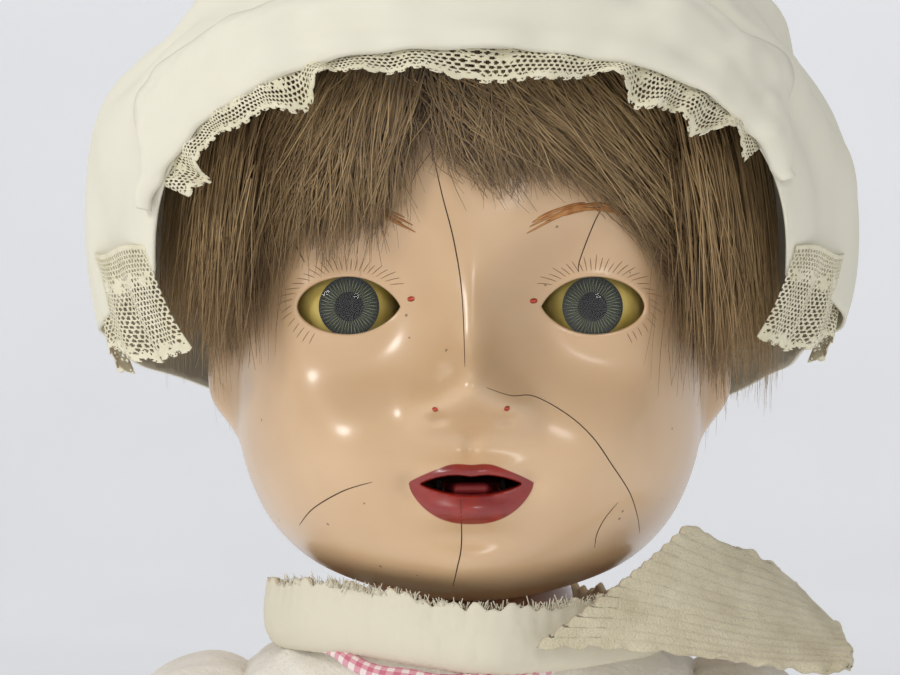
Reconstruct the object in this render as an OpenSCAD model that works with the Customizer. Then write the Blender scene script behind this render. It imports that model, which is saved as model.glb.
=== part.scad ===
// Large seated baby doll: porcelain head with sleep eyes, wig, bonnet and scarf, on a strung bent-limb body.
// +Z is up and the doll faces -Y. The origin is the middle of the flat seat. Left is the doll's own left, +X.

/* [Head] */
// Width of the head across the cheeks
head_w = 103; // [92:1:124]
// Height of the head from chin to crown
head_h = 138; // [126:1:166]
// Depth of the head in front of the neck axis
face_depth = 53.5; // [50:0.5:60]
// Depth of the head behind the neck axis
skull_depth = 61; // [55:1:74]
// Height of the chin above the seat
chin_z = 215; // [213:1:222]
// Thickness of the porcelain wall
head_wall = 5; // [4:0.5:6]

/* [Eyes] */
// Diameter of each glass eye
eye_d = 26; // [22:0.5:27]
// Distance between the two eye centres
eye_spacing = 51.5; // [48:0.5:56]
// Height of the eye line above the chin
eye_up = 63; // [60:1:68]
// Width of each eye opening
eye_open_w = 22; // [18:0.5:23]
// Height of each eye opening
eye_open_h = 12.6; // [9:0.2:14]
// Diameter of the iris disc
iris_d = 12.8; // [10:0.2:14]
// Diameter of the pupil
pupil_d = 6; // [4:0.2:7]
// Diameter of the rocker wire
rocker_d = 2; // [1.5:0.1:2.5]
// Distance of the lead weight from the eye axis
weight_reach = 32; // [28:1:34]

/* [Mouth] */
// Height of the mouth opening above the chin
mouth_up = 26; // [24:1:30]
// Width of the mouth opening
mouth_w = 22; // [18:0.5:24]
// Height of the mouth opening
mouth_h = 4.6; // [3:0.2:6]
// Width of the tongue
tongue_w = 12; // [9:0.5:13]

/* [Hair and bonnet] */
// Depth of the hair outside the head
hair_depth = 9; // [6:0.5:9]
// Half the width of the bonnet at its widest
bonnet_half_w = 79.5; // [76:0.5:90]
// Thickness of the bonnet cloth with its gathers
bonnet_cloth = 2.4; // [1.6:0.2:3]
// Half the width of the bonnet's face opening
face_open_half_w = 67; // [64:1:70]
// Height of the top of the face opening above the eye line
face_open_up = 53; // [48:1:56]
// How far the lace frill reaches in from the brim
lace_reach = 7; // [4:0.5:9]

/* [Body] */
// Height of the top of the torso above the seat
torso_h = 202; // [200:1:204]
// Half the width of the torso at the chest
chest_half_w = 52; // [48:0.5:53]
// Thickness of the composition wall
torso_wall = 4; // [3:0.5:5]
// Radius of the rounded neck base
neck_r = 24; // [22:0.5:25]
// Clearance around the neck base in its socket
neck_gap = 0.5; // [0.3:0.1:0.8]

/* [Limbs] */
// Height of the shoulder joints
shoulder_z = 178; // [174:1:179]
// Distance of each shoulder ball from the middle
shoulder_x = 56; // [55:0.5:60]
// Radius of the shoulder balls
shoulder_r = 15; // [13:0.5:15.5]
// Height of the hip joints
hip_z = 38; // [37:0.5:40]
// Distance of each hip ball from the middle
hip_x = 47; // [45:0.5:50]
// Radius of the hip balls
hip_r = 20; // [17:0.5:21]
// Clearance between a limb ball and its cup
limb_gap = 0.8; // [0.5:0.1:1.2]
// Diameter of the stringing elastic
elastic_d = 3; // [2:0.2:4]
// Diameter of the steel hook wire
hook_d = 2.5; // [2:0.1:3]

/* [Clothes] */
// Thickness of the flannel shirt
shirt_cloth = 2.6; // [2:0.2:3.4]
// Height of the shirt's hem above the seat
hem_z = 92; // [90:1:110]
// Thickness of the cloth pants
pants_cloth = 2.2; // [1.4:0.2:2.6]
// Thickness of the knitted booties
bootie_knit = 1.8; // [1.2:0.2:2]

/* [Hidden] */

// Shared clearances
skin_gap = 0.3;       // between layers of one body
running_gap = 0.05;   // radial clearance of a pin in its bore
big = 400;            // larger than the doll

// Places worked out from the sizes above
eye_r = eye_d / 2;
eye_x = eye_spacing / 2;
eye_z = chin_z + eye_up;
socket_r = eye_r + 0.7;
lid_r = eye_r + 2.4;
// thickness of the crown pate
pate_wall = 2.4;
// tiny overlap that makes two shapes of one piece one solid
touch = 0.001;
// how far forward the face is at eye height, as a share of its depth
eye_front_share = 0.9036;
// how far the lid stands behind the face surface
eye_sink = 3.4;
eye_y = lid_r - eye_front_share * face_depth + eye_sink;
mouth_z = chin_z + mouth_up;
mouth_back_y = -face_depth;
crown_cut_z = chin_z + head_h * 0.833;
head_mid_z = chin_z + head_h / 2;
neck_mid_z = torso_h + 3;
neck_floor_z = chin_z + head_wall;
neck_bore_r = neck_r - 9;
face_edge_z = eye_z + face_open_up;

// A sculpted shell is finished as one smooth faceted skin.
module sculpted() {
  resize([0, 0, 0]) children();
}

// Catmull-Rom value between b and c at share t
function blend_four(a, b, c, d, t) =
  0.5 * (2 * b + (c - a) * t + (2 * a - 5 * b + 4 * c - d) * t * t + (3 * b - a - 3 * c + d) * t * t * t);

// One smoothed row of a list of sections, at a share from 0 to 1 along the list
function section_at(rows, share) =
  let (last = len(rows) - 1, s = min(share * last, last - 0.0001), i = floor(s))
  [for (k = [0:len(rows[0]) - 1])
    max(k == 0 ? -big : 0.02,
      blend_four(rows[max(i - 1, 0)][k], rows[i][k], rows[i + 1][k], rows[min(i + 2, last)][k], s - i))];

function signed_power(v, p) = sign(v) * pow(abs(v), p);

function bell(x, z, at_x, at_z, wide, tall) =
  exp(-pow((x - at_x) / wide, 2) - pow((z - at_z) / tall, 2));

function ease(v) = let (c = max(0, min(1, v))) c * c * (3 - 2 * c);

// Head sections from chin to crown: height share, half width, front and back, as shares of the sizes
head_rows = [
  [0.000, 0.155, 0.49, 0.10], [0.011, 0.37, 0.67, 0.26], [0.051, 0.65, 0.86, 0.49],
  [0.112, 0.835, 0.95, 0.69], [0.188, 0.942, 0.99, 0.82], [0.268, 0.99, 1.00, 0.90],
  [0.377, 1.00, 0.99, 0.95], [0.493, 1.00, 1.00, 0.985], [0.609, 0.99, 0.99, 1.00],
  [0.725, 0.942, 0.935, 0.95], [0.833, 0.796, 0.766, 0.80], [0.920, 0.563, 0.523, 0.575],
  [0.978, 0.282, 0.262, 0.295], [1.000, 0.00, 0.00, 0.00]
];

// Sculpted features of the face: x, height above the eye line, width, height, how far they stand out
face_features = [
  [0, -17, 7, 7, 11], [0, -6, 5, 11, 4], [-8, -21, 5, 4.5, 4.5], [8, -21, 5, 4.5, 4.5],
  [-29, -31, 16, 14, 5], [29, -31, 16, 14, 5], [0, -34.5, 10, 3.5, 3.5], [0, -42.5, 9, 3.6, 4],
  [0, -56, 13, 8, 4], [-24, 17, 14, 6, 1.5], [24, 17, 14, 6, 1.5]
];

function feature_sum(x, up) =
  [for (f = face_features) f[4] * bell(x, up, f[0], f[1], f[2], f[3])] * [for (f = face_features) 1];

// Front of the face at x and z, with the features standing out and the lids following the eye globes
function face_y(x, y, z) =
  let (
    facing = ease(-y / face_depth * 1.6),
    dx = abs(x) - eye_x,
    dz = z - eye_z,
    away = sqrt(dx * dx + dz * dz),
    reach = min(away, lid_r * 0.82),
    lid_y = eye_y - sqrt(lid_r * lid_r - reach * reach),
    near_eye = ease((19.5 - away) / 8.5) * facing,
    featured = y - feature_sum(x, dz) * facing
  )
  featured * (1 - near_eye) + lid_y * near_eye;

// Closed skin through rings of points, where rings[i] is the list of points of ring i
module skin(rings) {
  count = len(rings);
  around = len(rings[0]);
  points = [for (ring = rings) each ring];
  sides = [for (i = [0:count - 2]) for (j = [0:around - 1])
    let (a = i * around + j, b = i * around + (j + 1) % around)
    each [[a, a + around, b], [b, a + around, b + around]]];
  bottom = [[for (j = [0:around - 1]) j]];
  top = [[for (j = [around - 1:-1:0]) (count - 1) * around + j]];
  polyhedron(points = points, faces = concat(sides, bottom, top), convexity = 6);
}

// One ring of a body with separate front and back depths
function body_ring(row, z, grow, around, roundness) =
  [for (j = [0:around - 1])
    let (a = 360 * j / around, c = signed_power(cos(a), 2 / roundness), s = signed_power(sin(a), 2 / roundness))
    [(row[1] + grow) * c, (s < 0 ? row[2] + grow : row[3] + grow) * s, z]];

// Body lofted through rows of height, half width, front and back
module loft(rows, rings, around, grow = 0, end_grow = 0, roundness = 2.3) {
  mid = (rows[0][0] + rows[len(rows) - 1][0]) / 2;
  half = (rows[len(rows) - 1][0] - rows[0][0]) / 2;
  skin([for (i = [0:rings])
    let (row = section_at(rows, i / rings), z = mid + (row[0] - mid) * (half + end_grow) / half)
    body_ring([z, max(row[1], 0.05 - grow), max(row[2], 0.05 - grow), max(row[3], 0.05 - grow)],
      z, grow, around, roundness)]);
}

function head_row_sizes() =
  [for (r = head_rows) [chin_z + r[0] * head_h, r[1] * head_w / 2, r[2] * face_depth, r[3] * skull_depth]];

// Plain head form, larger or smaller by grow all round
module head_form(grow, rings = 13, around = 22) {
  rows = head_row_sizes();
  skin([for (i = [0:rings])
    let (
      row = section_at(rows, i / rings),
      z = head_mid_z + (row[0] - head_mid_z) * (head_h / 2 + grow) / (head_h / 2),
      share = grow < 0 ? min(1, 0.05 + row[1] / (head_w / 4)) : 1
    )
    body_ring([z, max(row[1], 0.3), max(row[2], 0.3), max(row[3], 0.3)], z,
      grow < 0 ? max(grow * share, 0.2 - max(row[1], 0.3)) : grow, around, 2.3)]);
}

// Head form with the face sculpted on its front
module face_form(rings = 23, around = 36) {
  rows = head_row_sizes();
  skin([for (i = [0:rings])
    let (row = section_at(rows, i / rings))
    [for (p = body_ring(row, row[0], 0, around, 2.3)) [p[0], p[1] < 0 ? face_y(p[0], p[1], p[2]) : p[1], p[2]]]]);
}

// Pointed oval of a width and height, in the XZ plane, pushed through from front to back
module almond(w, h, front_y, back_y) {
  r = (w * w / 4 + h * h / 4) / h;
  translate([0, back_y, 0])
    rotate([90, 0, 0])
      linear_extrude(back_y - front_y)
        intersection() {
          translate([0, r - h / 2]) circle(r, $fn = 48);
          translate([0, h / 2 - r]) circle(r, $fn = 48);
        }
}

module both_sides() {
  for (side = [-1, 1]) scale([side, 1, 1]) children();
}

// Everything behind and above a plane through two points given as y and z, at the front and the back
module above_slope(front, back) {
  slope = atan2(back[1] - front[1], back[0] - front[0]);
  translate([0, front[0], front[1]])
    rotate([slope, 0, 0])
      translate([-big / 2, -big / 2, 0])
        cube([big, big, big]);
}

module ear(grow = 0) {
  hull() {
    translate([head_w / 2 - 1, 4, eye_z - 4]) scale([5 + grow, 9 + grow, 11 + grow]) sphere(1, $fn = 16);
    translate([head_w / 2 - 1, 1, eye_z - 20]) scale([3.5 + grow, 5 + grow, 7 + grow]) sphere(1, $fn = 16);
  }
}

// Porcelain head with open crown, eye openings, mouth opening and rounded neck base
module head_shell() {
  color("#e2bd98")
    sculpted()
      difference() {
        union() {
          difference() {
            union() {
              face_form();
              both_sides() ear();
              translate([0, 0, neck_mid_z]) cylinder(r = neck_r - 4, h = chin_z + 6 - neck_mid_z, $fn = 40);
              translate([0, 0, neck_mid_z]) sphere(neck_r, $fn = 40);
            }
            head_form(-head_wall);
          }
          intersection() {
            face_form();
            both_sides()
              difference() {
                translate([eye_x, eye_y, eye_z]) sphere(socket_r + 4, $fn = 16);
                translate([0, eye_y - 3, 0]) cube([big, big, 2 * big]);
              }
          }
        }
        both_sides() {
          translate([eye_x, eye_y, eye_z]) sphere(socket_r, $fn = 28);
          translate([eye_x, 0, eye_z]) almond(eye_open_w, eye_open_h, -face_depth - 10, eye_y);
          translate([eye_x, eye_y, eye_z])
            rotate([0, 90, 0])
              cylinder(r = bearing_r + skin_gap, h = bearing_end_x + skin_gap - eye_x, $fn = 32);
        }
        translate([0, 0, mouth_z]) almond(mouth_w, mouth_h, -face_depth - 20, 0);
        translate([-mouth_w / 2 - 2, mouth_back_y, mouth_z - 5.6]) cube([mouth_w + 4, 12, 13.6]);
        translate([0, cork_front_y - skin_gap, cork_z])
          rotate([-90, 0, 0])
            cylinder(r = cork_r + skin_gap, h = 30, $fn = 32);
        translate([0, 0, neck_mid_z - neck_r]) cylinder(r = neck_bore_r, h = neck_r + 30, $fn = 40);
        translate([0, 0, neck_floor_z]) cylinder(r = neck_bore_r + 3.5, h = 12, $fn = 40);
        translate([0, 0, neck_mid_z - neck_r]) cylinder(r = big, h = neck_r - 15);
        translate([-big / 2, -big / 2, crown_cut_z]) cube([big, big, big]);
      }
}

// Cardboard dome that closes the open crown
module crown_pate() {
  color("#a98a63")
    sculpted()
      difference() {
        head_form(0, 18, 28);
        head_form(-pate_wall);
        translate([-big / 2, -big / 2, crown_cut_z + 0.1 - big]) cube([big, big, big]);
      }
}

// Stitched cloth cap that carries the hair
module wig_cap() {
  color("#8d7350")
    sculpted()
      difference() {
        intersection() {
          head_form(1.9);
          above_slope([-face_depth, eye_z + 42], [skull_depth, eye_z - 44]);
        }
        head_form(0.9);
        both_sides() ear(1);
      }
}

// Mohair, as one soft solid
module wig() {
  color("#7d6344")
    sculpted()
      difference() {
        intersection() {
          head_form(hair_depth);
          above_slope([-face_depth - hair_depth, eye_z + 20], [skull_depth + hair_depth, eye_z - 52]);
        }
        head_form(2.3);
        both_sides() ear(1);
      }
}

bearing_r = 5;
// half-width of the head inside at eye height, as a share of the head's
bearing_share = 0.86;
bearing_end_x = head_w / 2 * bearing_share - 1.5;

// Plaster bearing at the outer end of the rocker wire
module eye_bearing(side) {
  from_x = eye_x + eye_r + 0.6;
  color("#e9e4da")
    scale([side, 1, 1])
      translate([from_x, eye_y, eye_z])
        rotate([0, 90, 0])
          difference() {
            cylinder(r = bearing_r, h = bearing_end_x - from_x, $fn = 48);
            translate([0, 0, -1]) cylinder(r = rocker_d / 2 + running_gap, h = big / 10, $fn = 48);
          }
}
module left_eye_bearing() { eye_bearing(1); }
module right_eye_bearing() { eye_bearing(-1); }

weight_r = 6;
weight_w = 14;
weight_tilt = atan2(25, 20);
weight_y = eye_y + weight_reach * cos(weight_tilt);
weight_z = eye_z - weight_reach * sin(weight_tilt);
cork_r = 6;
cork_z = weight_z;
cork_front_y = -face_depth + 3.5;
cork_end_y = weight_y - weight_r - skin_gap;

// Cork block that the lead weight rests on
module cork_stop() {
  color("#b98a55")
    translate([0, cork_front_y, cork_z])
      rotate([-90, 0, 0])
        cylinder(r = cork_r, h = cork_end_y - cork_front_y, $fn = 48);
}

// Two small teeth on a strip, just behind the upper lip
module upper_teeth() {
  color("#f2ead8")
    translate([0, mouth_back_y + skin_gap, mouth_z]) {
      translate([-5.5, 0, 4]) cube([11, 1.6, 2.6]);
      for (side = [-1, 1])
        translate([side * 2.2, 0, 1.9])
          translate([-1.8, 0, 0])
            cube([3.6, 1.6, 2.1 + touch]);
    }
}

tongue_pin_y = mouth_back_y + 11;
tongue_pin_z = mouth_z - 1.8;
tongue_pin_r = 0.8;
ear_in_x = tongue_w / 2 + skin_gap;

// Tin bracket that holds the tongue's pin
module tongue_bracket() {
  floor_z = mouth_z - 5.6 + skin_gap / 2;
  color("#b9b7ad")
    difference() {
      union() {
        translate([-ear_in_x - 0.8, mouth_back_y + 4, floor_z])
          cube([2 * ear_in_x + 1.6, 9.5, 0.6]);
        for (side = [-1, 1])
          translate([side * (ear_in_x + 0.4) - 0.4, tongue_pin_y - 2.4, floor_z])
            cube([0.8, 4.9, tongue_pin_z + 2.2 - floor_z]);
      }
      translate([-big / 2, tongue_pin_y, tongue_pin_z])
        rotate([0, 90, 0])
          cylinder(r = tongue_pin_r + running_gap / 2, h = big, $fn = 32);
    }
}

module tongue_pin() {
  color("#8f9296")
    translate([-ear_in_x - 1.6, tongue_pin_y, tongue_pin_z])
      rotate([0, 90, 0])
        cylinder(r = tongue_pin_r, h = 2 * ear_in_x + 3.2, $fn = 32);
}

// Tongue blade that wobbles on its pin
module tongue() {
  tip_r = 1.3;
  color("#7a1d1c")
    difference() {
      union() {
        translate([-tongue_w / 2, tongue_pin_y, tongue_pin_z])
          rotate([0, 90, 0])
            cylinder(r = 1.9, h = tongue_w, $fn = 32);
        hull() {
          for (side = [-1, 1]) {
            translate([side * (tongue_w / 2 - 1.4), tongue_pin_y - 1.6, tongue_pin_z]) sphere(1.2, $fn = 20);
            translate([side * (tongue_w / 2 - 3.4), tongue_pin_y - 9, tongue_pin_z + 0.7]) sphere(tip_r, $fn = 20);
          }
        }
      }
      translate([-big / 2, tongue_pin_y, tongue_pin_z])
        rotate([0, 90, 0])
          cylinder(r = tongue_pin_r + running_gap, h = big, $fn = 32);
    }
}

// Turned wooden plug in the neck bore, with its flange on the neck floor
module neck_plug() {
  color("#c69c66")
    difference() {
      union() {
        translate([0, 0, neck_mid_z - 10])
          cylinder(r = neck_bore_r - skin_gap, h = neck_floor_z - neck_mid_z + 11, $fn = 64);
        translate([0, 0, neck_floor_z]) cylinder(r = neck_bore_r + 3.2, h = 3, $fn = 64);
      }
      translate([0, 0, neck_mid_z - 20]) cylinder(r = hook_d / 2 + running_gap, h = 60, $fn = 32);
    }
}

ring_r = 8;
hook_top_z = neck_floor_z + 8;
hook_end_z = neck_mid_z - 23;

// Steel hook whose ring holds the arm elastic
module neck_hook() {
  color("#8d9094")
    union() {
      translate([0, 0, hook_end_z - 0.5])
        cylinder(r = hook_d / 2, h = hook_top_z - hook_end_z + 0.5, $fn = 40);
      translate([0, 0, hook_end_z - ring_r])
        rotate([0, 90, 0])
          rotate_extrude($fn = 64)
            translate([ring_r, 0])
              circle(hook_d / 2, $fn = 32);
    }
}

module neck_washer() {
  color("#9b9da0")
    translate([0, 0, neck_floor_z + 3])
      difference() {
        cylinder(r = 6, h = 1, $fn = 48);
        translate([0, 0, -1]) cylinder(r = hook_d / 2 + running_gap, h = 3, $fn = 32);
      }
}

module neck_nut() {
  color("#87898c")
    translate([0, 0, neck_floor_z + 4])
      difference() {
        cylinder(r = 3.6, h = 2.4, $fn = 6);
        translate([0, 0, -1]) cylinder(r = hook_d / 2 + running_gap, h = 5, $fn = 32);
      }
}

// Bonnet sections: height above the eye line, half width share, front, back
bonnet_rows = [
  [-46, 0.74, 34, 60], [-30, 0.86, 42, 70], [-16, 0.93, 50, 75], [2, 0.975, 60, 78], [22, 1.0, 66, 80],
  [42, 0.965, 67, 79], [59, 0.84, 62, 74], [74, 0.64, 50, 62], [86, 0.38, 32, 42], [92, 0.02, 2, 2]
];

module bonnet_form(grow = 0) {
  loft([for (r = bonnet_rows) [eye_z + r[0], r[1] * bonnet_half_w, r[2], r[3]]],
    13, 26, grow, grow, 2.15);
}

// Arch that frames the face, larger or smaller by grow, pushed through the front half
module face_arch(grow = 0) {
  w = face_open_half_w + grow;
  h = 46 + grow;
  translate([0, 10, 0])
    rotate([90, 0, 0])
      linear_extrude(big / 2)
        translate([0, face_edge_z - 46])
          union() {
            intersection() {
              scale([w / h, 1]) circle(h, $fn = 40);
              translate([-big / 2, 0]) square(big);
            }
            translate([-w, -big / 2]) square([2 * w, big / 2 + 0.01]);
          }
}

module bonnet_skirt() {
  above_slope([-40, eye_z + 8], [78, eye_z - 28]);
}

// Puffed cloth crown of the bonnet
module bonnet_crown() {
  color("#e9e4cd")
    sculpted()
      difference() {
        intersection() {
          bonnet_form();
          bonnet_skirt();
        }
        bonnet_form(-bonnet_cloth);
        face_arch();
      }
}

// Front edge of the bonnet, folded back over the crown
module bonnet_brim() {
  color("#e5dfc6")
    sculpted()
      difference() {
        intersection() {
          bonnet_form(2.3);
          bonnet_skirt();
          face_arch(11);
        }
        bonnet_form(skin_gap);
        face_arch();
      }
}

// Gathered lace frill that hangs in from the brim
module bonnet_lace() {
  color("#e6e1cb")
    sculpted()
      difference() {
        intersection() {
          bonnet_form(-bonnet_cloth - skin_gap);
          above_slope([-40, eye_z + 20], [78, eye_z + 20]);
          face_arch(1.5);
        }
        bonnet_form(-bonnet_cloth - 1.7);
        face_arch(-lace_reach);
      }
}

// Heavier lace at the lower end of one side flap
module lappet_lace(side) {
  color("#dfd8bd")
    sculpted()
      intersection() {
        difference() {
          bonnet_form();
          bonnet_form(-bonnet_cloth);
          bonnet_skirt();
        }
        scale([side, 1, 1])
          translate([face_open_half_w - 7, -55, eye_z - 10])
            cube([40, 62, 25]);
      }
}
module left_lappet_lace() { lappet_lace(1); }
module right_lappet_lace() { lappet_lace(-1); }

cap_plane = sqrt(eye_r * eye_r - iris_d * iris_d / 4);

// Put an eye piece, made round the origin and looking along +Z, into one side's socket
module in_socket(side) {
  translate([side * eye_x, eye_y, eye_z]) rotate([90, 0, 0]) children();
}

// Glass globe with a flat seat for the iris and a bore for the rocker wire
module eye_globe(side) {
  color("#c9b45a")
    in_socket(side)
      difference() {
        sphere(eye_r, $fn = 120);
        translate([0, 0, cap_plane - 1.6]) cylinder(r = iris_d / 2 + 0.03, h = eye_r, $fn = 64);
        translate([-eye_r - 1, 0, 0])
          rotate([0, 90, 0]) cylinder(r = rocker_d / 2 + 0.02, h = eye_d + 2, $fn = 40);
      }
}
module left_eye_globe() { eye_globe(1); }
module right_eye_globe() { eye_globe(-1); }

module iris(side) {
  color("#4a4f45")
    in_socket(side)
      translate([0, 0, cap_plane - 1.6])
        cylinder(r = iris_d / 2, h = 1.1, $fn = 64);
}
module left_iris() { iris(1); }
module right_iris() { iris(-1); }

module pupil(side) {
  color("#101112")
    in_socket(side)
      translate([0, 0, cap_plane - 0.5])
        cylinder(r = pupil_d / 2, h = 0.45, $fn = 48);
}
module left_pupil() { pupil(1); }
module right_pupil() { pupil(-1); }

module cornea(side) {
  color("#d8e4e4", 0.5)
    in_socket(side)
      intersection() {
        sphere(eye_r, $fn = 360);
        translate([0, 0, cap_plane]) cylinder(r = iris_d / 2, h = eye_r, $fn = 180);
      }
}
module left_cornea() { cornea(1); }
module right_cornea() { cornea(-1); }

lid_low_angle = 33;
lid_span = 76;
lid_in_r = eye_r + 0.03;

// Wax lid over the top of one globe; it comes down as the eyes roll shut
module eyelid(side) {
  color("#6d4a2f")
    translate([side * eye_x, eye_y, eye_z])
      rotate([0, 90, 0])
        rotate([0, 0, 270 - lid_low_angle - lid_span])
          rotate_extrude(angle = lid_span, $fn = 72)
            intersection() {
              difference() {
                circle(lid_in_r + 0.35, $fn = 72);
                circle(lid_in_r, $fn = 72);
              }
              translate([2, -eye_r * 0.93]) square([eye_r * 2, eye_r * 1.86]);
            }
}
module left_eyelid() { eyelid(1); }
module right_eyelid() { eyelid(-1); }

// Wire that joins both eyes and carries the weight
module eye_rocker() {
  color("#9a9ca0")
    translate([0, eye_y, eye_z])
      union() {
        translate([-bearing_end_x + 0.4, 0, 0]) rotate([0, 90, 0])
          cylinder(r = rocker_d / 2, h = 2 * bearing_end_x - 0.8, $fn = 40);
        rotate([-90 - weight_tilt, 0, 0])
          cylinder(r = rocker_d / 2, h = weight_reach - 1, $fn = 40);
      }
}

module eye_weight() {
  color("#6c6e70")
    translate([0, eye_y, eye_z])
      difference() {
        translate([-weight_w / 2, weight_y - eye_y, weight_z - eye_z])
          rotate([0, 90, 0])
            cylinder(r = weight_r, h = weight_w, $fn = 64);
        rotate([-90 - weight_tilt, 0, 0])
          cylinder(r = rocker_d / 2 + 0.02, h = weight_reach - 0.9, $fn = 40);
      }
}

// Torso sections: height, half width share or size, front, back
hip_half_w = hip_x - 15;
torso_rows = [
  [pants_cloth + skin_gap, hip_half_w - 6, 26, 34], [8, hip_half_w - 1, 34, 44], [20, hip_half_w, 39, 48],
  [35, hip_half_w, 42, 49], [58, hip_half_w + 2, 44, 48], [75, chest_half_w * 0.87, 45, 45],
  [90, chest_half_w * 0.98, 46, 43], [120, chest_half_w, 43, 40], [150, chest_half_w * 0.98, 38, 38],
  [175, chest_half_w * 0.92, 33, 35], [190, 37, 30, 31], [torso_h, 30.5, 30, 30]
];

module torso_cups() {
  for (side = [-1, 1]) {
    translate([side * (shoulder_x - 9), 0, shoulder_z])
      rotate([0, 90 * side, 0])
        cylinder(r = shoulder_r + 1.8, h = 30, $fn = 28);
    translate([side * (hip_x - 16.2), 0, hip_z])
      rotate([0, 90 * side, 0])
        cylinder(r = hip_r + 1.5, h = 30, $fn = 28);
    translate([side * shoulder_x, 0, shoulder_z]) sphere(shoulder_r + limb_gap, $fn = 28);
    translate([side * hip_x, 0, hip_z]) sphere(hip_r + limb_gap, $fn = 28);
    translate([side * shoulder_x, 0, shoulder_z]) rotate([0, -90 * side, 0]) cylinder(r = 7, h = 30, $fn = 12);
    translate([side * hip_x, 0, hip_z]) rotate([0, -90 * side, 0]) cylinder(r = 7, h = 30, $fn = 12);
  }
}

// One half of the composition torso; front is -1 and back is 1
module torso_half(way) {
  color("#d9b08a")
    sculpted()
      difference() {
        loft(torso_rows, 13, 24);
        difference() {
          loft(torso_rows, 11, 20, -torso_wall, -torso_wall);
          translate([0, 0, torso_h - 18]) cylinder(r = big, h = 40);
        }
        torso_cups();
        translate([0, 0, torso_h - 17]) cylinder(r = neck_r + 3.4, h = 40, $fn = 48);
        translate([0, 0, torso_h - 20]) cylinder(r = neck_r - 2, h = 40, $fn = 48);
        translate([-big / 2, way > 0 ? 0.05 - big : -0.05, -big / 2]) cube([big, big, 2 * big]);
      }
}
module torso_front() { torso_half(-1); }
module torso_back() { torso_half(1); }

// Turned cup in the top of the torso that the neck base swivels in
module neck_socket() {
  color("#b58d5e")
    translate([0, 0, torso_h - 16.7])
      difference() {
        cylinder(r = neck_r + 3.1, h = 16.7, $fn = 96);
        translate([0, 0, neck_mid_z - torso_h + 16.7]) sphere(neck_r + neck_gap, $fn = 96);
        translate([0, 0, -1]) cylinder(r = neck_r - 8, h = 20, $fn = 64);
      }
}

eye_ring_r = 3.5;
arm_eye_x = shoulder_x - shoulder_r - eye_ring_r - 2;
leg_eye_x = hip_x - hip_r - eye_ring_r - 2;

// Elastic between the hook eyes of two limbs
module elastic(height, eye_ring_x) {
  half = eye_ring_x - eye_ring_r - hook_d / 2 - skin_gap;
  color("#d8d2c2")
    translate([-half, 0, height])
      rotate([0, 90, 0])
        cylinder(r = elastic_d / 2, h = 2 * half, $fn = 40);
}
module arm_elastic() { elastic(shoulder_z, arm_eye_x); }
module leg_elastic() { elastic(hip_z, leg_eye_x); }

// Shirt sections: height, half width, front, back
shirt_rows = [
  [hem_z, 58, 56, 54], [hem_z + 12, 56.5, 53, 52], [hem_z + 32, 55, 49, 48], [150, 55, 44, 45],
  [175, 55, 39, 42], [190, 54, 36, 40], [200, 50, 34, 38], [204.8, 41, 32.5, 35], [206.3, 33, 31.5, 32]
];

// Flannel shirt with a neck hole and two armholes
module shirt() {
  color("#ece7da")
    sculpted()
      difference() {
        loft(shirt_rows, 12, 26);
        translate([0, 0, -0.01]) loft(concat([[hem_z - 4, 58, 56, 54]], [for (r = shirt_rows)
          [r[0] < 195 ? r[0] : r[0] - shirt_cloth, r[1], r[2], r[3]]]), 12, 26, -shirt_cloth);
        translate([0, 0, 150]) cylinder(r = 31.5, h = 100, $fn = 36);
        both_sides()
          translate([chest_half_w - 14, 0, shoulder_z])
            rotate([0, 90, 0])
              cylinder(r = shoulder_r + 4.5, h = 40, $fn = 28);
      }
}

// Row of buttons down the back of the shirt
module shirt_buttons() {
  color("#f1ede2")
    for (i = [0:3])
      translate([0, shirt_back_y(hem_z + 16 + 24 * i) + 0.8, hem_z + 16 + 24 * i])
        rotate([-90, 0, 0])
          difference() {
            cylinder(r = 4.5, h = 1.8, $fn = 48);
            for (side = [-1, 1])
              translate([side * 1.3, 0, -1]) cylinder(r = 0.5, h = 5, $fn = 24);
          }
}
function shirt_back_y(z) = lookup(z, [for (r = shirt_rows) [r[0], r[3]]]);

// Checked binding sewn round the shirt's neck
module neck_binding() {
  color("#d79aa2")
    translate([0, 0, torso_h + 6])
      rotate_extrude($fn = 96)
        translate([33, 0])
          circle(1.3, $fn = 48);
}

// Knitted scarf round the neck, flaring up under the jaw
module neck_scarf() {
  color("#ddd5bb")
    rotate_extrude($fn = 96)
      polygon([[26.5, torso_h + 8.2], [31, torso_h + 7.9], [36, torso_h + 8.4], [44, torso_h + 9.2],
        [52.5, torso_h + 10.2], [52.8, torso_h + 12.6], [44, torso_h + 11.8], [35, torso_h + 11], [27, torso_h + 10.6]]);
}

// Ribbed end of the scarf, fanned over the left shoulder
module scarf_tail() {
  color("#dcd3b6")
    hull() {
      translate([56.5, -18, torso_h + 10]) sphere(1.3, $fn = 16);
      translate([56.5, 10, torso_h + 14]) sphere(1.3, $fn = 16);
      translate([70, -16, torso_h + 6]) sphere(1.3, $fn = 16);
      translate([72, 10, torso_h + 7]) sphere(1.3, $fn = 16);
      translate([84, -8, torso_h + 4.5]) sphere(1.3, $fn = 16);
    }
}

pants_rows = concat([[0, hip_half_w - 5, 26, 34]], [for (i = [1:6])
  [torso_rows[i][0], torso_rows[i][1] + pants_cloth, torso_rows[i][2] + pants_cloth, torso_rows[i][3] + pants_cloth]]);

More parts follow.
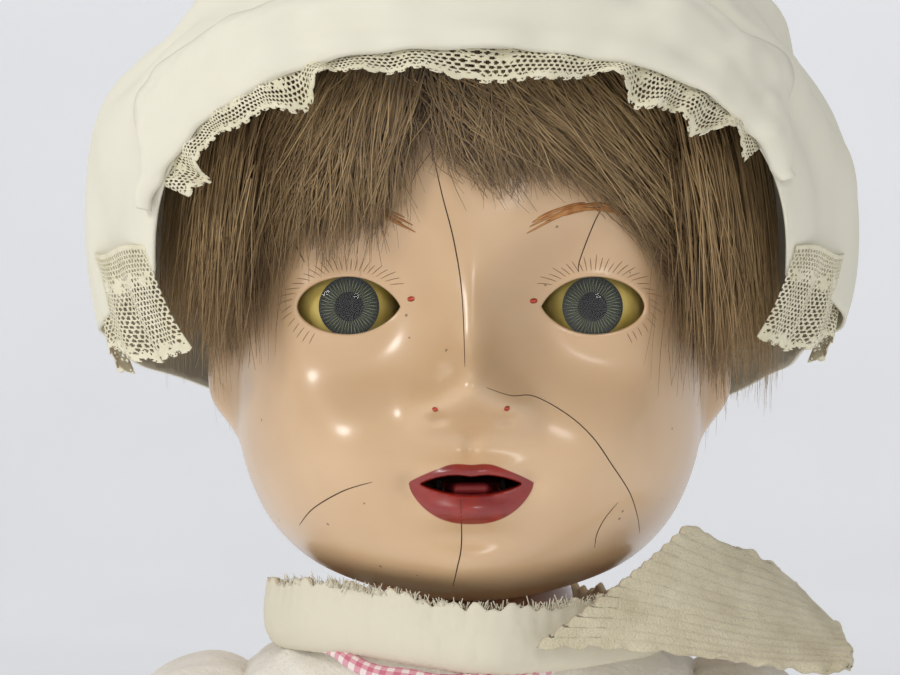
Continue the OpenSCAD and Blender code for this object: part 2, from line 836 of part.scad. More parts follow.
// Cloth pants with leg holes; their flat bottom is what the doll sits on
module cloth_pants() {
  color("#e8e2d2")
    sculpted()
      difference() {
        loft(pants_rows, 11, 24);
        loft([for (r = torso_rows) [r[0], r[1] + skin_gap, r[2] + skin_gap, r[3] + skin_gap]], 13, 24);
        both_sides()
          translate([hip_half_w - 12, 0, hip_z])
            rotate([0, 90, 0])
              cylinder(r = hip_r + 1.5, h = 60, $fn = 28);
      }
}

// Rounded limb through points with radii, fuller by grow
module chain(points, grow = 0, detail = 14) {
  for (i = [0:len(points) - 2])
    hull() {
      translate([points[i][0], points[i][1], points[i][2]]) sphere(points[i][3] + grow, $fn = detail);
      translate([points[i + 1][0], points[i + 1][1], points[i + 1][2]]) sphere(points[i + 1][3] + grow, $fn = detail);
    }
}

// Arm points from the shoulder ball: x, y, z, radius
arm_points = [
  [0, 0, 0, shoulder_r], [16, -3, -15, 13.5], [21, -12, -42, 12.5], [20, -34, -56, 11.5], [18, -54, -58, 8.5]
];
palm_points = [[18, -54, -58, 8.5], [17, -65, -59, 9], [15, -72, -59, 8.5]];
finger_length = 15;

module hand() {
  chain(palm_points, 0, 10);
  for (i = [0:3])
    chain([
      [8.5 + 4.3 * i, -75 - (i == 1 || i == 2 ? 2 : 0), -56, 3.6],
      [7.5 + 4.6 * i, -83 - (i == 1 || i == 2 ? 3 : 0), -58, 3.2],
      [7 + 4.4 * i, -75 - finger_length - (i == 1 || i == 2 ? 2 : 0), -63, 2.8]
    ], 0, 8);
  chain([[10, -62, -56, 4.2], [4, -69, -57, 3.6], [2, -76, -60, 3.1]], 0, 8);
}

module at_shoulder(side) {
  scale([side, 1, 1]) translate([shoulder_x, 0, shoulder_z]) children();
}

// Composition arm with its hand and the ball that sits in the shoulder cup
module arm(side) {
  color("#dcb48f")
    sculpted()
      at_shoulder(side)
        difference() {
          union() {
            chain(arm_points);
            hand();
          }
          translate([-shoulder_r - 1, 0, 0])
            rotate([0, 90, 0]) cylinder(r = hook_d / 2 + 0.2, h = 12.2, $fn = 20);
        }
}
module left_arm() { arm(1); }
module right_arm() { arm(-1); }

// Steel hook with an eye, pressed into a limb ball
module limb_hook(side, ball_x, height, ball_r, eye_ring_x) {
  tip_x = ball_x - ball_r + 11;
  color("#8f9296")
    scale([side, 1, 1])
      translate([0, 0, height])
        union() {
          translate([eye_ring_x + eye_ring_r - 0.6, 0, 0]) rotate([0, 90, 0])
            cylinder(r = hook_d / 2, h = tip_x - eye_ring_x - eye_ring_r + 0.6, $fn = 40);
          translate([eye_ring_x, 0, 0])
            rotate_extrude($fn = 64)
              translate([eye_ring_r, 0])
                circle(hook_d / 2, $fn = 32);
        }
}
module left_arm_hook() { limb_hook(1, shoulder_x, shoulder_z, shoulder_r, arm_eye_x); }
module right_arm_hook() { limb_hook(-1, shoulder_x, shoulder_z, shoulder_r, arm_eye_x); }

sleeve_edge_x = 58;
cuff_share = 0.72;

function along(a, b, t) = a * (1 - t) + b * t;
cuff_mid = along(arm_points[3], arm_points[4], cuff_share);
sleeve_points = [arm_points[0], arm_points[1], arm_points[2], arm_points[3], cuff_mid];

// Puffed flannel sleeve, hollow round the arm
module sleeve(side) {
  color("#e9e3d4")
    sculpted()
      difference() {
        at_shoulder(side) chain(sleeve_points, 5);
        at_shoulder(side) chain(arm_points, 1.6);
        scale([side, 1, 1]) translate([sleeve_edge_x - big, -big / 2, -big / 2]) cube([big, big, 2 * big]);
        at_shoulder(side) cuff_cut();
      }
}

// Everything past the cuff, square to the forearm
module cuff_cut() {
  aim = arm_points[4] - arm_points[3];
  translate([cuff_mid[0], cuff_mid[1], cuff_mid[2]])
    rotate([0, atan2(norm([aim[0], aim[1]]), aim[2]), atan2(aim[1], aim[0])])
      translate([0, 0, 50 - cuff_w / 2])
        cube([100, 100, 100], center = true);
}
module left_sleeve() { sleeve(1); }
module right_sleeve() { sleeve(-1); }

cuff_w = 8;

// Gathered cuff round the end of the sleeve
module cuff(side) {
  aim = arm_points[4] - arm_points[3];
  color("#e4ddca")
    at_shoulder(side)
      translate([cuff_mid[0], cuff_mid[1], cuff_mid[2]])
        rotate([0, atan2(norm([aim[0], aim[1]]), aim[2]), atan2(aim[1], aim[0])])
          translate([0, 0, skin_gap - cuff_w / 2])
            difference() {
              cylinder(r = cuff_mid[3] + 4.2, h = cuff_w, $fn = 64);
              translate([0, 0, -1]) cylinder(r = cuff_mid[3] + 1.4, h = cuff_w + 2, $fn = 64);
            }
}
module left_cuff() { cuff(1); }
module right_cuff() { cuff(-1); }

// Leg points from the hip ball: x, y, z, radius
leg_points = [
  [0, 0, 0, hip_r], [14, -26, -3, 20.5], [17, -64, -4, 18], [15, -88, -13, 15], [10, -106, -22.5, 12]
];
foot_points = [[10, -106, -22.5, 12], [9, -112, -24, 12], [6, -124, -8, 10.5], [3, -131, 6, 9.5]];

module at_hip(side) {
  scale([side, 1, 1]) translate([hip_x, 0, hip_z]) children();
}

// Bent composition leg with its foot and the ball that sits in the hip cup
module leg(side) {
  color("#dcb48f")
    sculpted()
      at_hip(side)
        difference() {
          union() {
            chain(leg_points);
            chain(foot_points, 0, 12);
          }
          translate([-hip_r - 1, 0, 0])
            rotate([0, 90, 0]) cylinder(r = hook_d / 2 + 0.2, h = 12.2, $fn = 20);
        }
}
module left_leg() { leg(1); }
module right_leg() { leg(-1); }
module left_leg_hook() { limb_hook(1, hip_x, hip_z, hip_r, leg_eye_x); }
module right_leg_hook() { limb_hook(-1, hip_x, hip_z, hip_r, leg_eye_x); }

// Knitted bootie over the foot and ankle
module bootie(side) {
  color("#ddd6c2")
    sculpted()
      at_hip(side)
        difference() {
          union() {
            chain(foot_points, bootie_knit, 12);
            chain([leg_points[3], leg_points[4]], bootie_knit + 0.6, 12);
          }
          chain(leg_points, skin_gap);
          chain(foot_points, skin_gap, 12);
          translate([-big / 2, leg_points[3][1] - 3, -big / 2]) cube([big, big, big]);
        }
}
module left_bootie() { bootie(1); }
module right_bootie() { bootie(-1); }

head_shell();
crown_pate();
wig_cap();
wig();
left_eye_bearing();
right_eye_bearing();
cork_stop();
upper_teeth();
tongue_bracket();
tongue_pin();
neck_plug();
neck_hook();
neck_washer();
neck_nut();
bonnet_crown();
bonnet_brim();
bonnet_lace();
left_lappet_lace();
right_lappet_lace();
left_eye_globe();
right_eye_globe();
left_iris();
right_iris();
left_pupil();
right_pupil();
left_cornea();
right_cornea();
left_eyelid();
right_eyelid();
eye_rocker();
eye_weight();
tongue();
torso_front();
torso_back();
neck_socket();
arm_elastic();
leg_elastic();
shirt();
shirt_buttons();
neck_binding();
neck_scarf();
scarf_tail();
cloth_pants();
left_arm();
right_arm();
left_arm_hook();
right_arm_hook();
left_sleeve();
right_sleeve();
left_cuff();
right_cuff();
left_leg();
right_leg();
left_leg_hook();
right_leg_hook();
left_bootie();
right_bootie();
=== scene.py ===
"""The looks of a porcelain doll: head, glass eyes, mohair wig, lawn bonnet and flannel clothes."""

from __future__ import annotations

import logging
import math
import sys
from dataclasses import dataclass
from enum import Enum
from typing import Callable

import bmesh
import bpy
import numpy as np
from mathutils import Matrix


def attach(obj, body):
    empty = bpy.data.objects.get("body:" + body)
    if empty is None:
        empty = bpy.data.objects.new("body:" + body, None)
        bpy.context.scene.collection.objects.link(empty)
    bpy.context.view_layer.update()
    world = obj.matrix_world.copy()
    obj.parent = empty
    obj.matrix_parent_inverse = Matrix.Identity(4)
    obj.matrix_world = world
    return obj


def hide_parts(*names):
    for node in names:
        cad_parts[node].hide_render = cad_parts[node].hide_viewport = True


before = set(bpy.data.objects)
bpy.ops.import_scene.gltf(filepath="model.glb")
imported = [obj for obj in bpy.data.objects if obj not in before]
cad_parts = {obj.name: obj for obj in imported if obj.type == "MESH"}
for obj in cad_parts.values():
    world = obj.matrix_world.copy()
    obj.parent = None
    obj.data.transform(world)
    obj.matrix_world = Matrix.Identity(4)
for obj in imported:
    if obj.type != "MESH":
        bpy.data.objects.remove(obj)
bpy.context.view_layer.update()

log = logging.getLogger("doll")
MM = 0.001
PER_METRE = 1000.0
FULL_TURN = 6.283
Field = Callable[[np.ndarray], np.ndarray]


def ease(share: np.ndarray) -> np.ndarray:
    """Returns a smooth step from 0 to 1 as share goes from 0 to 1."""
    held = np.clip(share, 0, 1)
    return held * held * (3 - 2 * held)


def crumple(points: np.ndarray, pitch: float, seed: int, waves: int = 9) -> np.ndarray:
    """Soft irregular folds, the same each run.

    Args:
        points: Places in millimetres, one row each.
        pitch: Usual distance between folds, in millimetres.
        seed: Chooses the folds.
        waves: How many waves are added together.

    Returns:
        One value from about -1 to 1 for each point.
    """
    draw = np.random.default_rng(seed)
    ways = draw.normal(size=(waves, 3))
    ways /= np.linalg.norm(ways, axis=1)[:, None]
    ways *= 2 * math.pi / (pitch * draw.uniform(0.7, 1.5, (waves, 1)))
    return np.sin(points @ ways.T + draw.uniform(0, 6.28, waves)).sum(axis=1) / math.sqrt(waves * 2)


def catmull(rows: np.ndarray, samples: int = 900) -> np.ndarray:
    """Returns rows joined by a smooth curve through them and sampled evenly along their index."""
    padded = np.vstack([rows[0], rows, rows[-1]])
    along = np.linspace(0, len(rows) - 1, samples)
    first = np.minimum(along.astype(int), len(rows) - 2)
    share = (along - first)[:, None]
    a, b, c, d = (padded[first + k] for k in range(4))
    return 0.5 * (
        2 * b + (c - a) * share + (2 * a - 5 * b + 4 * c - d) * share**2 + (3 * b - a - 3 * c + d) * share**3
    )


class RowForm:
    """A rounded body given by level rows of height, half-width, front and back depth, in millimetres."""

    def __init__(self, rows: list[list[float]], roundness: float) -> None:
        """Keeps the smooth table of rows, lowest first."""
        self.table = catmull(np.array(rows, float))
        self.table[:, 1:] = np.maximum(self.table[:, 1:], 0)
        self.roundness = roundness

    def sizes(self, z: np.ndarray) -> tuple[np.ndarray, np.ndarray, np.ndarray]:
        """Returns half-width, front and back depth at heights z."""
        return tuple(np.interp(z, self.table[:, 0], self.table[:, k]) for k in (1, 2, 3))

    def point(self, turn: np.ndarray, z: np.ndarray, lift: np.ndarray | float = 0.0) -> np.ndarray:
        """Returns the points at a turn from the front towards +X, at height z, lifted outwards."""
        wide, front, back = self.sizes(z)
        side, fore = np.sin(turn), -np.cos(turn)
        power = 2 / self.roundness
        x = (wide + lift) * np.sign(side) * np.abs(side) ** power
        y = (np.where(fore < 0, front, back) + lift) * np.sign(fore) * np.abs(fore) ** power
        return np.stack([x, y, z + 0 * x], axis=-1)

    def front_y(self, x: np.ndarray, z: np.ndarray, lift: float = 0.0) -> np.ndarray:
        """Returns y of the front surface over x and z."""
        wide, front, _ = self.sizes(z)
        share = np.clip(np.abs(x) / (wide + lift), 0, 0.9999)
        return -(front + lift) * (1 - share**self.roundness) ** (1 / self.roundness)

    def turn_at(self, x: np.ndarray, z: np.ndarray, lift: float = 0.0) -> np.ndarray:
        """Returns the turn from the front at which the surface has this x."""
        wide, _, _ = self.sizes(z)
        share = np.clip(np.abs(x) / (wide + lift), 0, 1)
        return np.sign(x) * np.arcsin(share ** (self.roundness / 2))


# --- mesh helpers -----------------------------------------------------------------------------


def deselect() -> None:
    """Leaves nothing selected, so that an operator acts on its own piece only."""
    bpy.ops.object.select_all(action="DESELECT")


def apply_modifiers(piece: bpy.types.Object) -> None:
    """Applies every modifier of a piece in order."""
    deselect()
    piece.select_set(True)
    bpy.context.view_layer.objects.active = piece
    for modifier in list(piece.modifiers):
        bpy.ops.object.modifier_apply(modifier=modifier.name)


def coordinates(piece: bpy.types.Object) -> np.ndarray:
    """Returns the piece's vertices in millimetres."""
    flat = np.zeros(len(piece.data.vertices) * 3)
    piece.data.vertices.foreach_get("co", flat)
    return flat.reshape(-1, 3) / MM


def normals(piece: bpy.types.Object) -> np.ndarray:
    """Returns the piece's vertex normals."""
    flat = np.zeros(len(piece.data.vertices) * 3)
    piece.data.vertex_normals.foreach_get("vector", flat)
    return flat.reshape(-1, 3)


def move_to(piece: bpy.types.Object, points: np.ndarray) -> None:
    """Puts the piece's vertices at these points, in millimetres."""
    piece.data.vertices.foreach_set("co", (points * MM).ravel())
    piece.data.update()


def smooth_shaded(piece: bpy.types.Object) -> bpy.types.Object:
    """Returns the piece with smooth shading."""
    piece.data.polygons.foreach_set("use_smooth", [True] * len(piece.data.polygons))
    return piece


def finish_mesh(piece: bpy.types.Object, merge: float = 0.001, outward: bool = True) -> None:
    """Merges doubled vertices and turns the faces outwards.

    Args:
        piece: The mesh piece.
        merge: Vertices closer than this become one, in millimetres.
        outward: Whether the normals are worked out again.
    """
    work = bmesh.new()
    work.from_mesh(piece.data)
    bmesh.ops.remove_doubles(work, verts=work.verts, dist=merge * MM)
    if outward:
        bmesh.ops.recalc_face_normals(work, faces=work.faces)
    work.to_mesh(piece.data)
    work.free()
    smooth_shaded(piece)


def attribute(piece: bpy.types.Object, name: str, values: np.ndarray) -> None:
    """Stores one number for each vertex for the finish to read."""
    layer = piece.data.attributes.get(name) or piece.data.attributes.new(name, "FLOAT", "POINT")
    layer.data.foreach_set("value", np.asarray(values, np.float32))


def shaped_grid(
    name: str,
    columns: int,
    rows: int,
    place: Callable[[np.ndarray, np.ndarray], np.ndarray],
    kept: Field | None = None,
    flat_uv: bool = True,
) -> bpy.types.Object:
    """A grid primitive is wrapped into a surface, and trimmed along a smooth edge.

    Args:
        name: Name of the piece.
        columns: Faces along u.
        rows: Faces along v.
        place: Gives the points, in millimetres, for u and v from 0 to 1.
        kept: Positive where the surface stays. The edge follows its nought line.
        flat_uv: Whether u and v stay as the UV map.

    Returns:
        The open surface as a piece.
    """
    deselect()
    bpy.ops.mesh.primitive_grid_add(x_subdivisions=columns, y_subdivisions=rows, size=2, calc_uvs=flat_uv)
    piece = bpy.context.object
    piece.name = piece.data.name = name
    start = coordinates(piece) * MM
    u, v = (start[:, 0] + 1) / 2, (start[:, 1] + 1) / 2
    points = place(u, v)
    if kept is not None:
        corners = np.zeros(len(piece.data.loops), int)
        piece.data.loops.foreach_get("vertex_index", corners)
        corners = corners.reshape(-1, 4)
        value = kept(points)
        dropped = value[corners].mean(axis=1) < 0
        on_dropped, on_kept = np.zeros(len(u), bool), np.zeros(len(u), bool)
        on_dropped[corners[dropped].ravel()] = True
        on_kept[corners[~dropped].ravel()] = True
        edge = on_dropped & on_kept
        tiny, most = 1e-4, np.array([1.2 / columns, 1.2 / rows])
        eu, ev = u[edge], v[edge]
        for _ in range(5):
            here = kept(place(eu, ev))
            by_u = (kept(place(eu + tiny, ev)) - here) / tiny
            by_v = (kept(place(eu, ev + tiny)) - here) / tiny
            steep = np.maximum(by_u**2 + by_v**2, 1e-6)
            eu = eu - np.clip(here * by_u / steep, -most[0], most[0])
            ev = ev - np.clip(here * by_v / steep, -most[1], most[1])
        points[edge] = place(eu, ev)
    move_to(piece, points)
    if kept is not None:
        work = bmesh.new()
        work.from_mesh(piece.data)
        work.faces.ensure_lookup_table()
        bmesh.ops.delete(work, geom=[work.faces[k] for k in np.flatnonzero(dropped)], context="FACES")
        work.to_mesh(piece.data)
        work.free()
    smooth_shaded(piece)
    return piece


def thickened(piece: bpy.types.Object, wall: float, offset: float = 0.0) -> bpy.types.Object:
    """Gives an open surface a wall, in millimetres, with offset from -1 inside to 1 outside."""
    wall_modifier = piece.modifiers.new("wall", "SOLIDIFY")
    wall_modifier.thickness = wall * MM
    wall_modifier.offset = offset
    apply_modifiers(piece)
    return smooth_shaded(piece)


def soft_copy(node: str, name: str, voxel: float, relax: int, folds: Field | None = None) -> bpy.types.Object:
    """A copy of a CAD node is remeshed, relaxed and given folds.

    Args:
        node: The CAD node.
        name: Name of the new piece.
        voxel: Size of the remesh, in millimetres.
        relax: How many rounds of smoothing.
        folds: How far each point moves outwards, in millimetres.

    Returns:
        The new piece, which stands for the node.
    """
    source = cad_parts[node]
    piece = bpy.data.objects.new(name, source.data.copy())
    bpy.context.scene.collection.objects.link(piece)
    piece.data.materials.clear()
    work = bmesh.new()
    work.from_mesh(piece.data)
    bmesh.ops.remove_doubles(work, verts=work.verts, dist=0.002 * MM)
    work.to_mesh(piece.data)
    work.free()
    remesh = piece.modifiers.new("remesh", "REMESH")
    remesh.mode, remesh.voxel_size, remesh.use_smooth_shade = "VOXEL", voxel * MM, True
    smooth = piece.modifiers.new("relax", "SMOOTH")
    smooth.factor, smooth.iterations = 0.5, relax
    apply_modifiers(piece)
    if folds is not None:
        points = coordinates(piece)
        move_to(piece, points + normals(piece) * folds(points)[:, None])
    smooth_shaded(piece)
    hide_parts(node)
    return piece


def ribbon_mesh(
    name: str, paths: list[np.ndarray], widths: list[np.ndarray], outs: list[np.ndarray], rise: float
) -> bpy.types.Object:
    """Many thin three-sided strokes in one mesh, each tapered by its own widths.

    Args:
        name: Name of the piece.
        paths: Points of each stroke, in millimetres.
        widths: Width at each point of each stroke, in millimetres.
        outs: Outward direction at each point.
        rise: Height of a stroke's ridge as a share of its width.

    Returns:
        The mesh piece.
    """
    points, faces, base = [], [], 0
    for path, width, out in zip(paths, widths, outs):
        along = np.gradient(path, axis=0)
        along /= np.maximum(np.linalg.norm(along, axis=1), 1e-9)[:, None]
        side = np.cross(along, out)
        side /= np.maximum(np.linalg.norm(side, axis=1), 1e-9)[:, None]
        half = width[:, None] / 2
        rings = np.stack([path - side * half, path + side * half, path + out * half * 2 * rise], axis=1)
        points.append(rings.reshape(-1, 3))
        count = len(path)
        for k in range(count - 1):
            low, high = base + 3 * k, base + 3 * k + 3
            faces += [
                (low, low + 1, high + 1, high),
                (low + 1, low + 2, high + 2, high + 1),
                (low + 2, low, high, high + 2),
            ]
        faces += [
            (base + 2, base + 1, base), (base + 3 * count - 3, base + 3 * count - 2, base + 3 * count - 1)
        ]
        base += 3 * count
    mesh = bpy.data.meshes.new(name)
    mesh.from_pydata(np.vstack(points) * MM, [], faces)
    piece = bpy.data.objects.new(name, mesh)
    bpy.context.scene.collection.objects.link(piece)
    return smooth_shaded(piece)


# --- finishes ---------------------------------------------------------------------------------


def linear(colour: tuple[int, int, int]) -> tuple[float, float, float, float]:
    """Returns an sRGB colour of 0 to 255 as linear light with full alpha."""
    share = [c / 255 for c in colour]
    return (*[c / 12.92 if c <= 0.04045 else ((c + 0.055) / 1.055) ** 2.4 for c in share], 1.0)


class Weave(Enum):
    """How a cloth's threads run."""

    NONE = "none"
    PLAIN = "plain"
    RIB = "rib"
    KNIT = "knit"


class Tree:
    """A material's node tree, with short calls to add and join nodes."""

    def __init__(self, name: str) -> None:
        """Starts a material with a Principled shader."""
        self.material = bpy.data.materials.new(name)
        self.material.use_nodes = True
        self.nodes, self.links = self.material.node_tree.nodes, self.material.node_tree.links
        self.shader = self.nodes["Principled BSDF"]
        self.coords = self.nodes.new("ShaderNodeTexCoord").outputs["Object"]

    def add(self, kind: str, **settings: object) -> bpy.types.Node:
        """Adds a node and sets its properties, and its inputs by socket name or by position."""
        node = self.nodes.new(f"ShaderNode{kind}")
        for key, value in settings.items():
            if hasattr(node, key):
                setattr(node, key, value)
            else:
                node.inputs[key.replace("_", " ")].default_value = value
        return node

    def join(self, source: bpy.types.NodeSocket, target: bpy.types.NodeSocket) -> None:
        """Joins two sockets."""
        self.links.new(source, target)

    def placed(self, centre: tuple[float, float, float], scale: float = PER_METRE) -> bpy.types.NodeSocket:
        """Returns the object coordinates about a centre in millimetres, scaled to millimetres or as given."""
        mapping = self.add("Mapping")
        mapping.inputs["Scale"].default_value = (scale,) * 3
        mapping.inputs["Location"].default_value = tuple(-c * MM * scale for c in centre)
        self.join(self.coords, mapping.inputs["Vector"])
        return mapping.outputs["Vector"]

    def axes(self, vector: bpy.types.NodeSocket) -> tuple[bpy.types.NodeSocket, ...]:
        """Returns a vector's X, Y and Z."""
        node = self.add("SeparateXYZ")
        self.join(vector, node.inputs["Vector"])
        return tuple(node.outputs[axis] for axis in "XYZ")

    def remap(self, value: bpy.types.NodeSocket, **limits: float | bool) -> bpy.types.NodeSocket:
        """Returns a value moved from one range to another."""
        node = self.add("MapRange", **limits)
        self.join(value, node.inputs["Value"])
        return node.outputs["Result"]

    def named(self, name: str) -> bpy.types.NodeSocket:
        """Returns a mesh attribute's value."""
        return self.add("Attribute", attribute_name=name).outputs["Fac"]

    def noise(
        self, size: float, detail: float = 3.0, where: bpy.types.NodeSocket | None = None
    ) -> bpy.types.NodeSocket:
        """Returns noise whose blobs are about size millimetres across."""
        node = self.add("TexNoise", Scale=PER_METRE / size if where is None else 1 / size, Detail=detail)
        self.join(where or self.coords, node.inputs["Vector"])
        return node.outputs["Fac"]

    def ramp(
        self, value: bpy.types.NodeSocket, stops: list[tuple[float, tuple[int, int, int]]]
    ) -> bpy.types.NodeSocket:
        """Returns a colour ramp over a value, from places and sRGB colours."""
        node = self.add("ValToRGB")
        while len(node.color_ramp.elements) < len(stops):
            node.color_ramp.elements.new(0.5)
        for element, (place, colour) in zip(node.color_ramp.elements, stops):
            element.position, element.color = place, linear(colour)
        self.join(value, node.inputs["Fac"])
        return node.outputs["Color"]

    def math(self, kind: str, *values: bpy.types.NodeSocket | float) -> bpy.types.NodeSocket:
        """Returns a math operation on sockets or numbers."""
        node = self.add("Math", operation=kind)
        for slot, value in zip(node.inputs, values):
            if isinstance(value, (int, float)):
                slot.default_value = value
            else:
                self.join(value, slot)
        return node.outputs["Value"]

    def mix(
        self, share: bpy.types.NodeSocket, first: bpy.types.NodeSocket | tuple,
        second: bpy.types.NodeSocket | tuple
    ) -> bpy.types.NodeSocket:
        """Returns two colours mixed by share."""
        node = self.add("Mix", data_type="RGBA")
        self.join(share, node.inputs["Factor"])
        ins = [socket for socket in node.inputs if socket.type == "RGBA"]
        for slot, value in zip(ins, (first, second)):
            if isinstance(value, tuple):
                slot.default_value = linear(value)
            else:
                self.join(value, slot)
        return next(socket for socket in node.outputs if socket.type == "RGBA")

    def bump(self, height: bpy.types.NodeSocket, depth: float, strength: float = 1.0) -> None:
        """Bumps the surface by a height map, depth in millimetres."""
        node = self.add("Bump", Distance=depth * MM, Strength=strength)
        self.join(height, node.inputs["Height"])
        self.join(node.outputs["Normal"], self.shader.inputs["Normal"])

    def set(self, **values: float | tuple) -> None:
        """Sets uniform values on the shader's own sockets."""
        for key, value in values.items():
            self.shader.inputs[key.replace("_", " ")].default_value = value


@dataclass(frozen=True)
class Finish:
    """A finish with mottled colour and fine relief, and painted shade in the hollows between woven or knitted
    threads.

    colours are the darker and lighter tones; mottle and grain are the sizes of the blotches and of the fine relief,
    and relief is its depth, all in millimetres; thread is the pitch of woven or knitted threads.
    """

    name: str
    colours: tuple[tuple[int, int, int], tuple[int, int, int]]
    roughness: float = 0.6
    mottle: float = 14.0
    grain: float = 0.6
    relief: float = 0.03
    metallic: float = 0.0
    coat: float = 0.0
    sheen: float = 0.0
    weave: Weave = Weave.NONE
    thread: float = 0.5

    def threads(self, tree: Tree) -> bpy.types.NodeSocket:
        """Returns the height of the threads, from 0 to 1."""
        x, y, z = tree.axes(tree.placed((0, 0, 0)))
        around = tree.math("ADD", x, y)
        waver = tree.math("MULTIPLY", tree.noise(6.0, 2.0), self.thread * 2)
        across = tree.math(
            "SINE", tree.math("MULTIPLY", tree.math("ADD", around, waver), FULL_TURN / self.thread)
        )
        if self.weave is Weave.RIB:
            return tree.math("ABSOLUTE", across)
        stretch = 1.0 if self.weave is Weave.PLAIN else 0.62
        rise = tree.math("ADD", z, waver)
        up = tree.math("SINE", tree.math("MULTIPLY", rise, FULL_TURN / (self.thread * stretch)))
        return tree.math("ABSOLUTE", tree.math("MULTIPLY", across, up))

    def make(self) -> bpy.types.Material:
        """Returns the material, made once."""
        found = bpy.data.materials.get(self.name)
        if found:
            return found
        tree = Tree(self.name)
        dark, light = self.colours
        blotch = tree.noise(self.mottle, 4.0)
        colour = tree.ramp(blotch, [(0.3, dark), (0.68, light)])
        height = tree.noise(self.grain, 2.0)
        if self.weave is not Weave.NONE:
            threads = self.threads(tree)
            # Painted shade: where the threads dip, the colour is mixed towards a darker copy of the darker colour.
            shade = tuple(int(c * 0.8) for c in dark)
            colour = tree.mix(tree.math("MULTIPLY", tree.math("SUBTRACT", 1.0, threads), 0.35), colour, shade)
            height = tree.math("ADD", threads, tree.math("MULTIPLY", height, 0.5))
        tree.join(colour, tree.shader.inputs["Base Color"])
        low, high = max(self.roughness - 0.06, 0.02), min(self.roughness + 0.06, 1.0)
        spread = tree.remap(tree.noise(self.mottle / 3, 2.0), To_Min=low, To_Max=high)
        tree.join(spread, tree.shader.inputs["Roughness"])
        tree.bump(height, self.relief)
        tree.set(Metallic=self.metallic, Coat_Weight=self.coat, Coat_Roughness=0.08, Sheen_Weight=self.sheen)
        tree.set(Sheen_Roughness=0.5)
        return tree.material


LAWN = Finish(
    "bonnet_lawn", ((214, 206, 172), (230, 224, 194)), 0.75, 30, 0.4, 0.16, sheen=0.25, weave=Weave.PLAIN,
    thread=1.2
)
LACE = Finish("cotton_lace", ((216, 208, 176), (234, 227, 200)), 0.8, 5, 0.35, 0.12, sheen=0.2)
FLANNEL = Finish("white_flannel", ((222, 214, 200), (238, 233, 222)), 0.95, 10, 0.9, 0.35, sheen=0.6)
SCARF_KNIT = Finish(
    "scarf_knit", ((192, 180, 146), (214, 204, 174)), 0.9, 9, 0.5, 0.9, sheen=0.3, weave=Weave.KNIT,
    thread=3.0
)
SCARF_RIB = Finish("scarf_rib", ((198, 186, 154), (220, 210, 180)), 0.9, 9, 0.5, 0.5, sheen=0.3)
PANTS = Finish(
    "pants_cotton", ((216, 208, 190), (234, 228, 214)), 0.9, 12, 0.5, 0.2, sheen=0.3, weave=Weave.PLAIN,
    thread=1.6
)
CUFF = Finish(
    "cuff_cotton", ((214, 150, 158), (240, 226, 222)), 0.9, 3, 0.5, 0.15, sheen=0.3, weave=Weave.PLAIN,
    thread=2.0
)
BOOTIE = Finish(
    "bootie_wool", ((206, 196, 170), (230, 222, 200)), 0.95, 8, 0.6, 0.5, sheen=0.5, weave=Weave.KNIT,
    thread=3.6
)
COMPOSITION = Finish("composition", ((206, 170, 132), (222, 188, 150)), 0.32, 22, 0.5, 0.02, coat=0.6)
GUM_PLASTER = Finish("bearing_plaster", ((214, 206, 190), (236, 230, 216)), 0.9, 5, 0.5, 0.08)
CORK = Finish("stop_cork", ((150, 108, 66), (196, 152, 104)), 0.9, 1.6, 0.5, 0.12)
TIN = Finish("bracket_tin", ((38, 34, 30), (62, 56, 50)), 0.6, 4, 0.5, 0.02, metallic=0.8)
STEEL = Finish("wire_steel", ((104, 98, 90), (150, 144, 136)), 0.38, 4, 0.5, 0.015, metallic=1.0)
LEAD = Finish("weight_lead", ((74, 74, 78), (112, 112, 116)), 0.6, 4, 0.5, 0.05, metallic=0.9)
WOOD = Finish("turned_wood", ((142, 100, 58), (184, 140, 92)), 0.6, 3, 0.5, 0.06)
BOARD = Finish("pate_board", ((150, 130, 98), (178, 158, 122)), 0.9, 7, 0.5, 0.06)
CAP_CLOTH = Finish(
    "wig_cap_cloth", ((120, 96, 66), (150, 124, 90)), 0.9, 6, 0.5, 0.1, weave=Weave.PLAIN, thread=0.8
)
ELASTIC = Finish(
    "strung_elastic", ((196, 186, 164), (226, 218, 200)), 0.85, 3, 0.4, 0.12, weave=Weave.RIB, thread=1.0
)
ENAMEL = Finish("tooth_enamel", ((206, 190, 160), (230, 218, 192)), 0.25, 3, 0.4, 0.01, coat=0.5)
TONGUE = Finish("tongue_paint", ((118, 22, 22), (150, 34, 32)), 0.3, 4, 0.6, 0.05, coat=0.5)
LID_WAX = Finish("lid_wax", ((84, 54, 32), (120, 82, 52)), 0.35, 4, 0.5, 0.02, coat=0.4)
BUTTON_CHINA = Finish("button_china", ((222, 214, 198), (240, 236, 226)), 0.2, 3, 0.5, 0.01, coat=0.6)
LINES = Finish("crack_line", ((52, 34, 20), (84, 58, 36)), 0.8, 3, 0.4, 0.02)
BROW_PAINT = Finish("brow_paint", ((160, 98, 38), (196, 136, 70)), 0.4, 2, 0.4, 0.01, coat=0.4)
LASH_PAINT = Finish("lash_paint", ((140, 104, 70), (168, 132, 94)), 0.5, 2, 0.4, 0.01)
DOT_PAINT = Finish("dot_paint", ((176, 52, 30), (200, 72, 44)), 0.35, 2, 0.4, 0.01, coat=0.4)


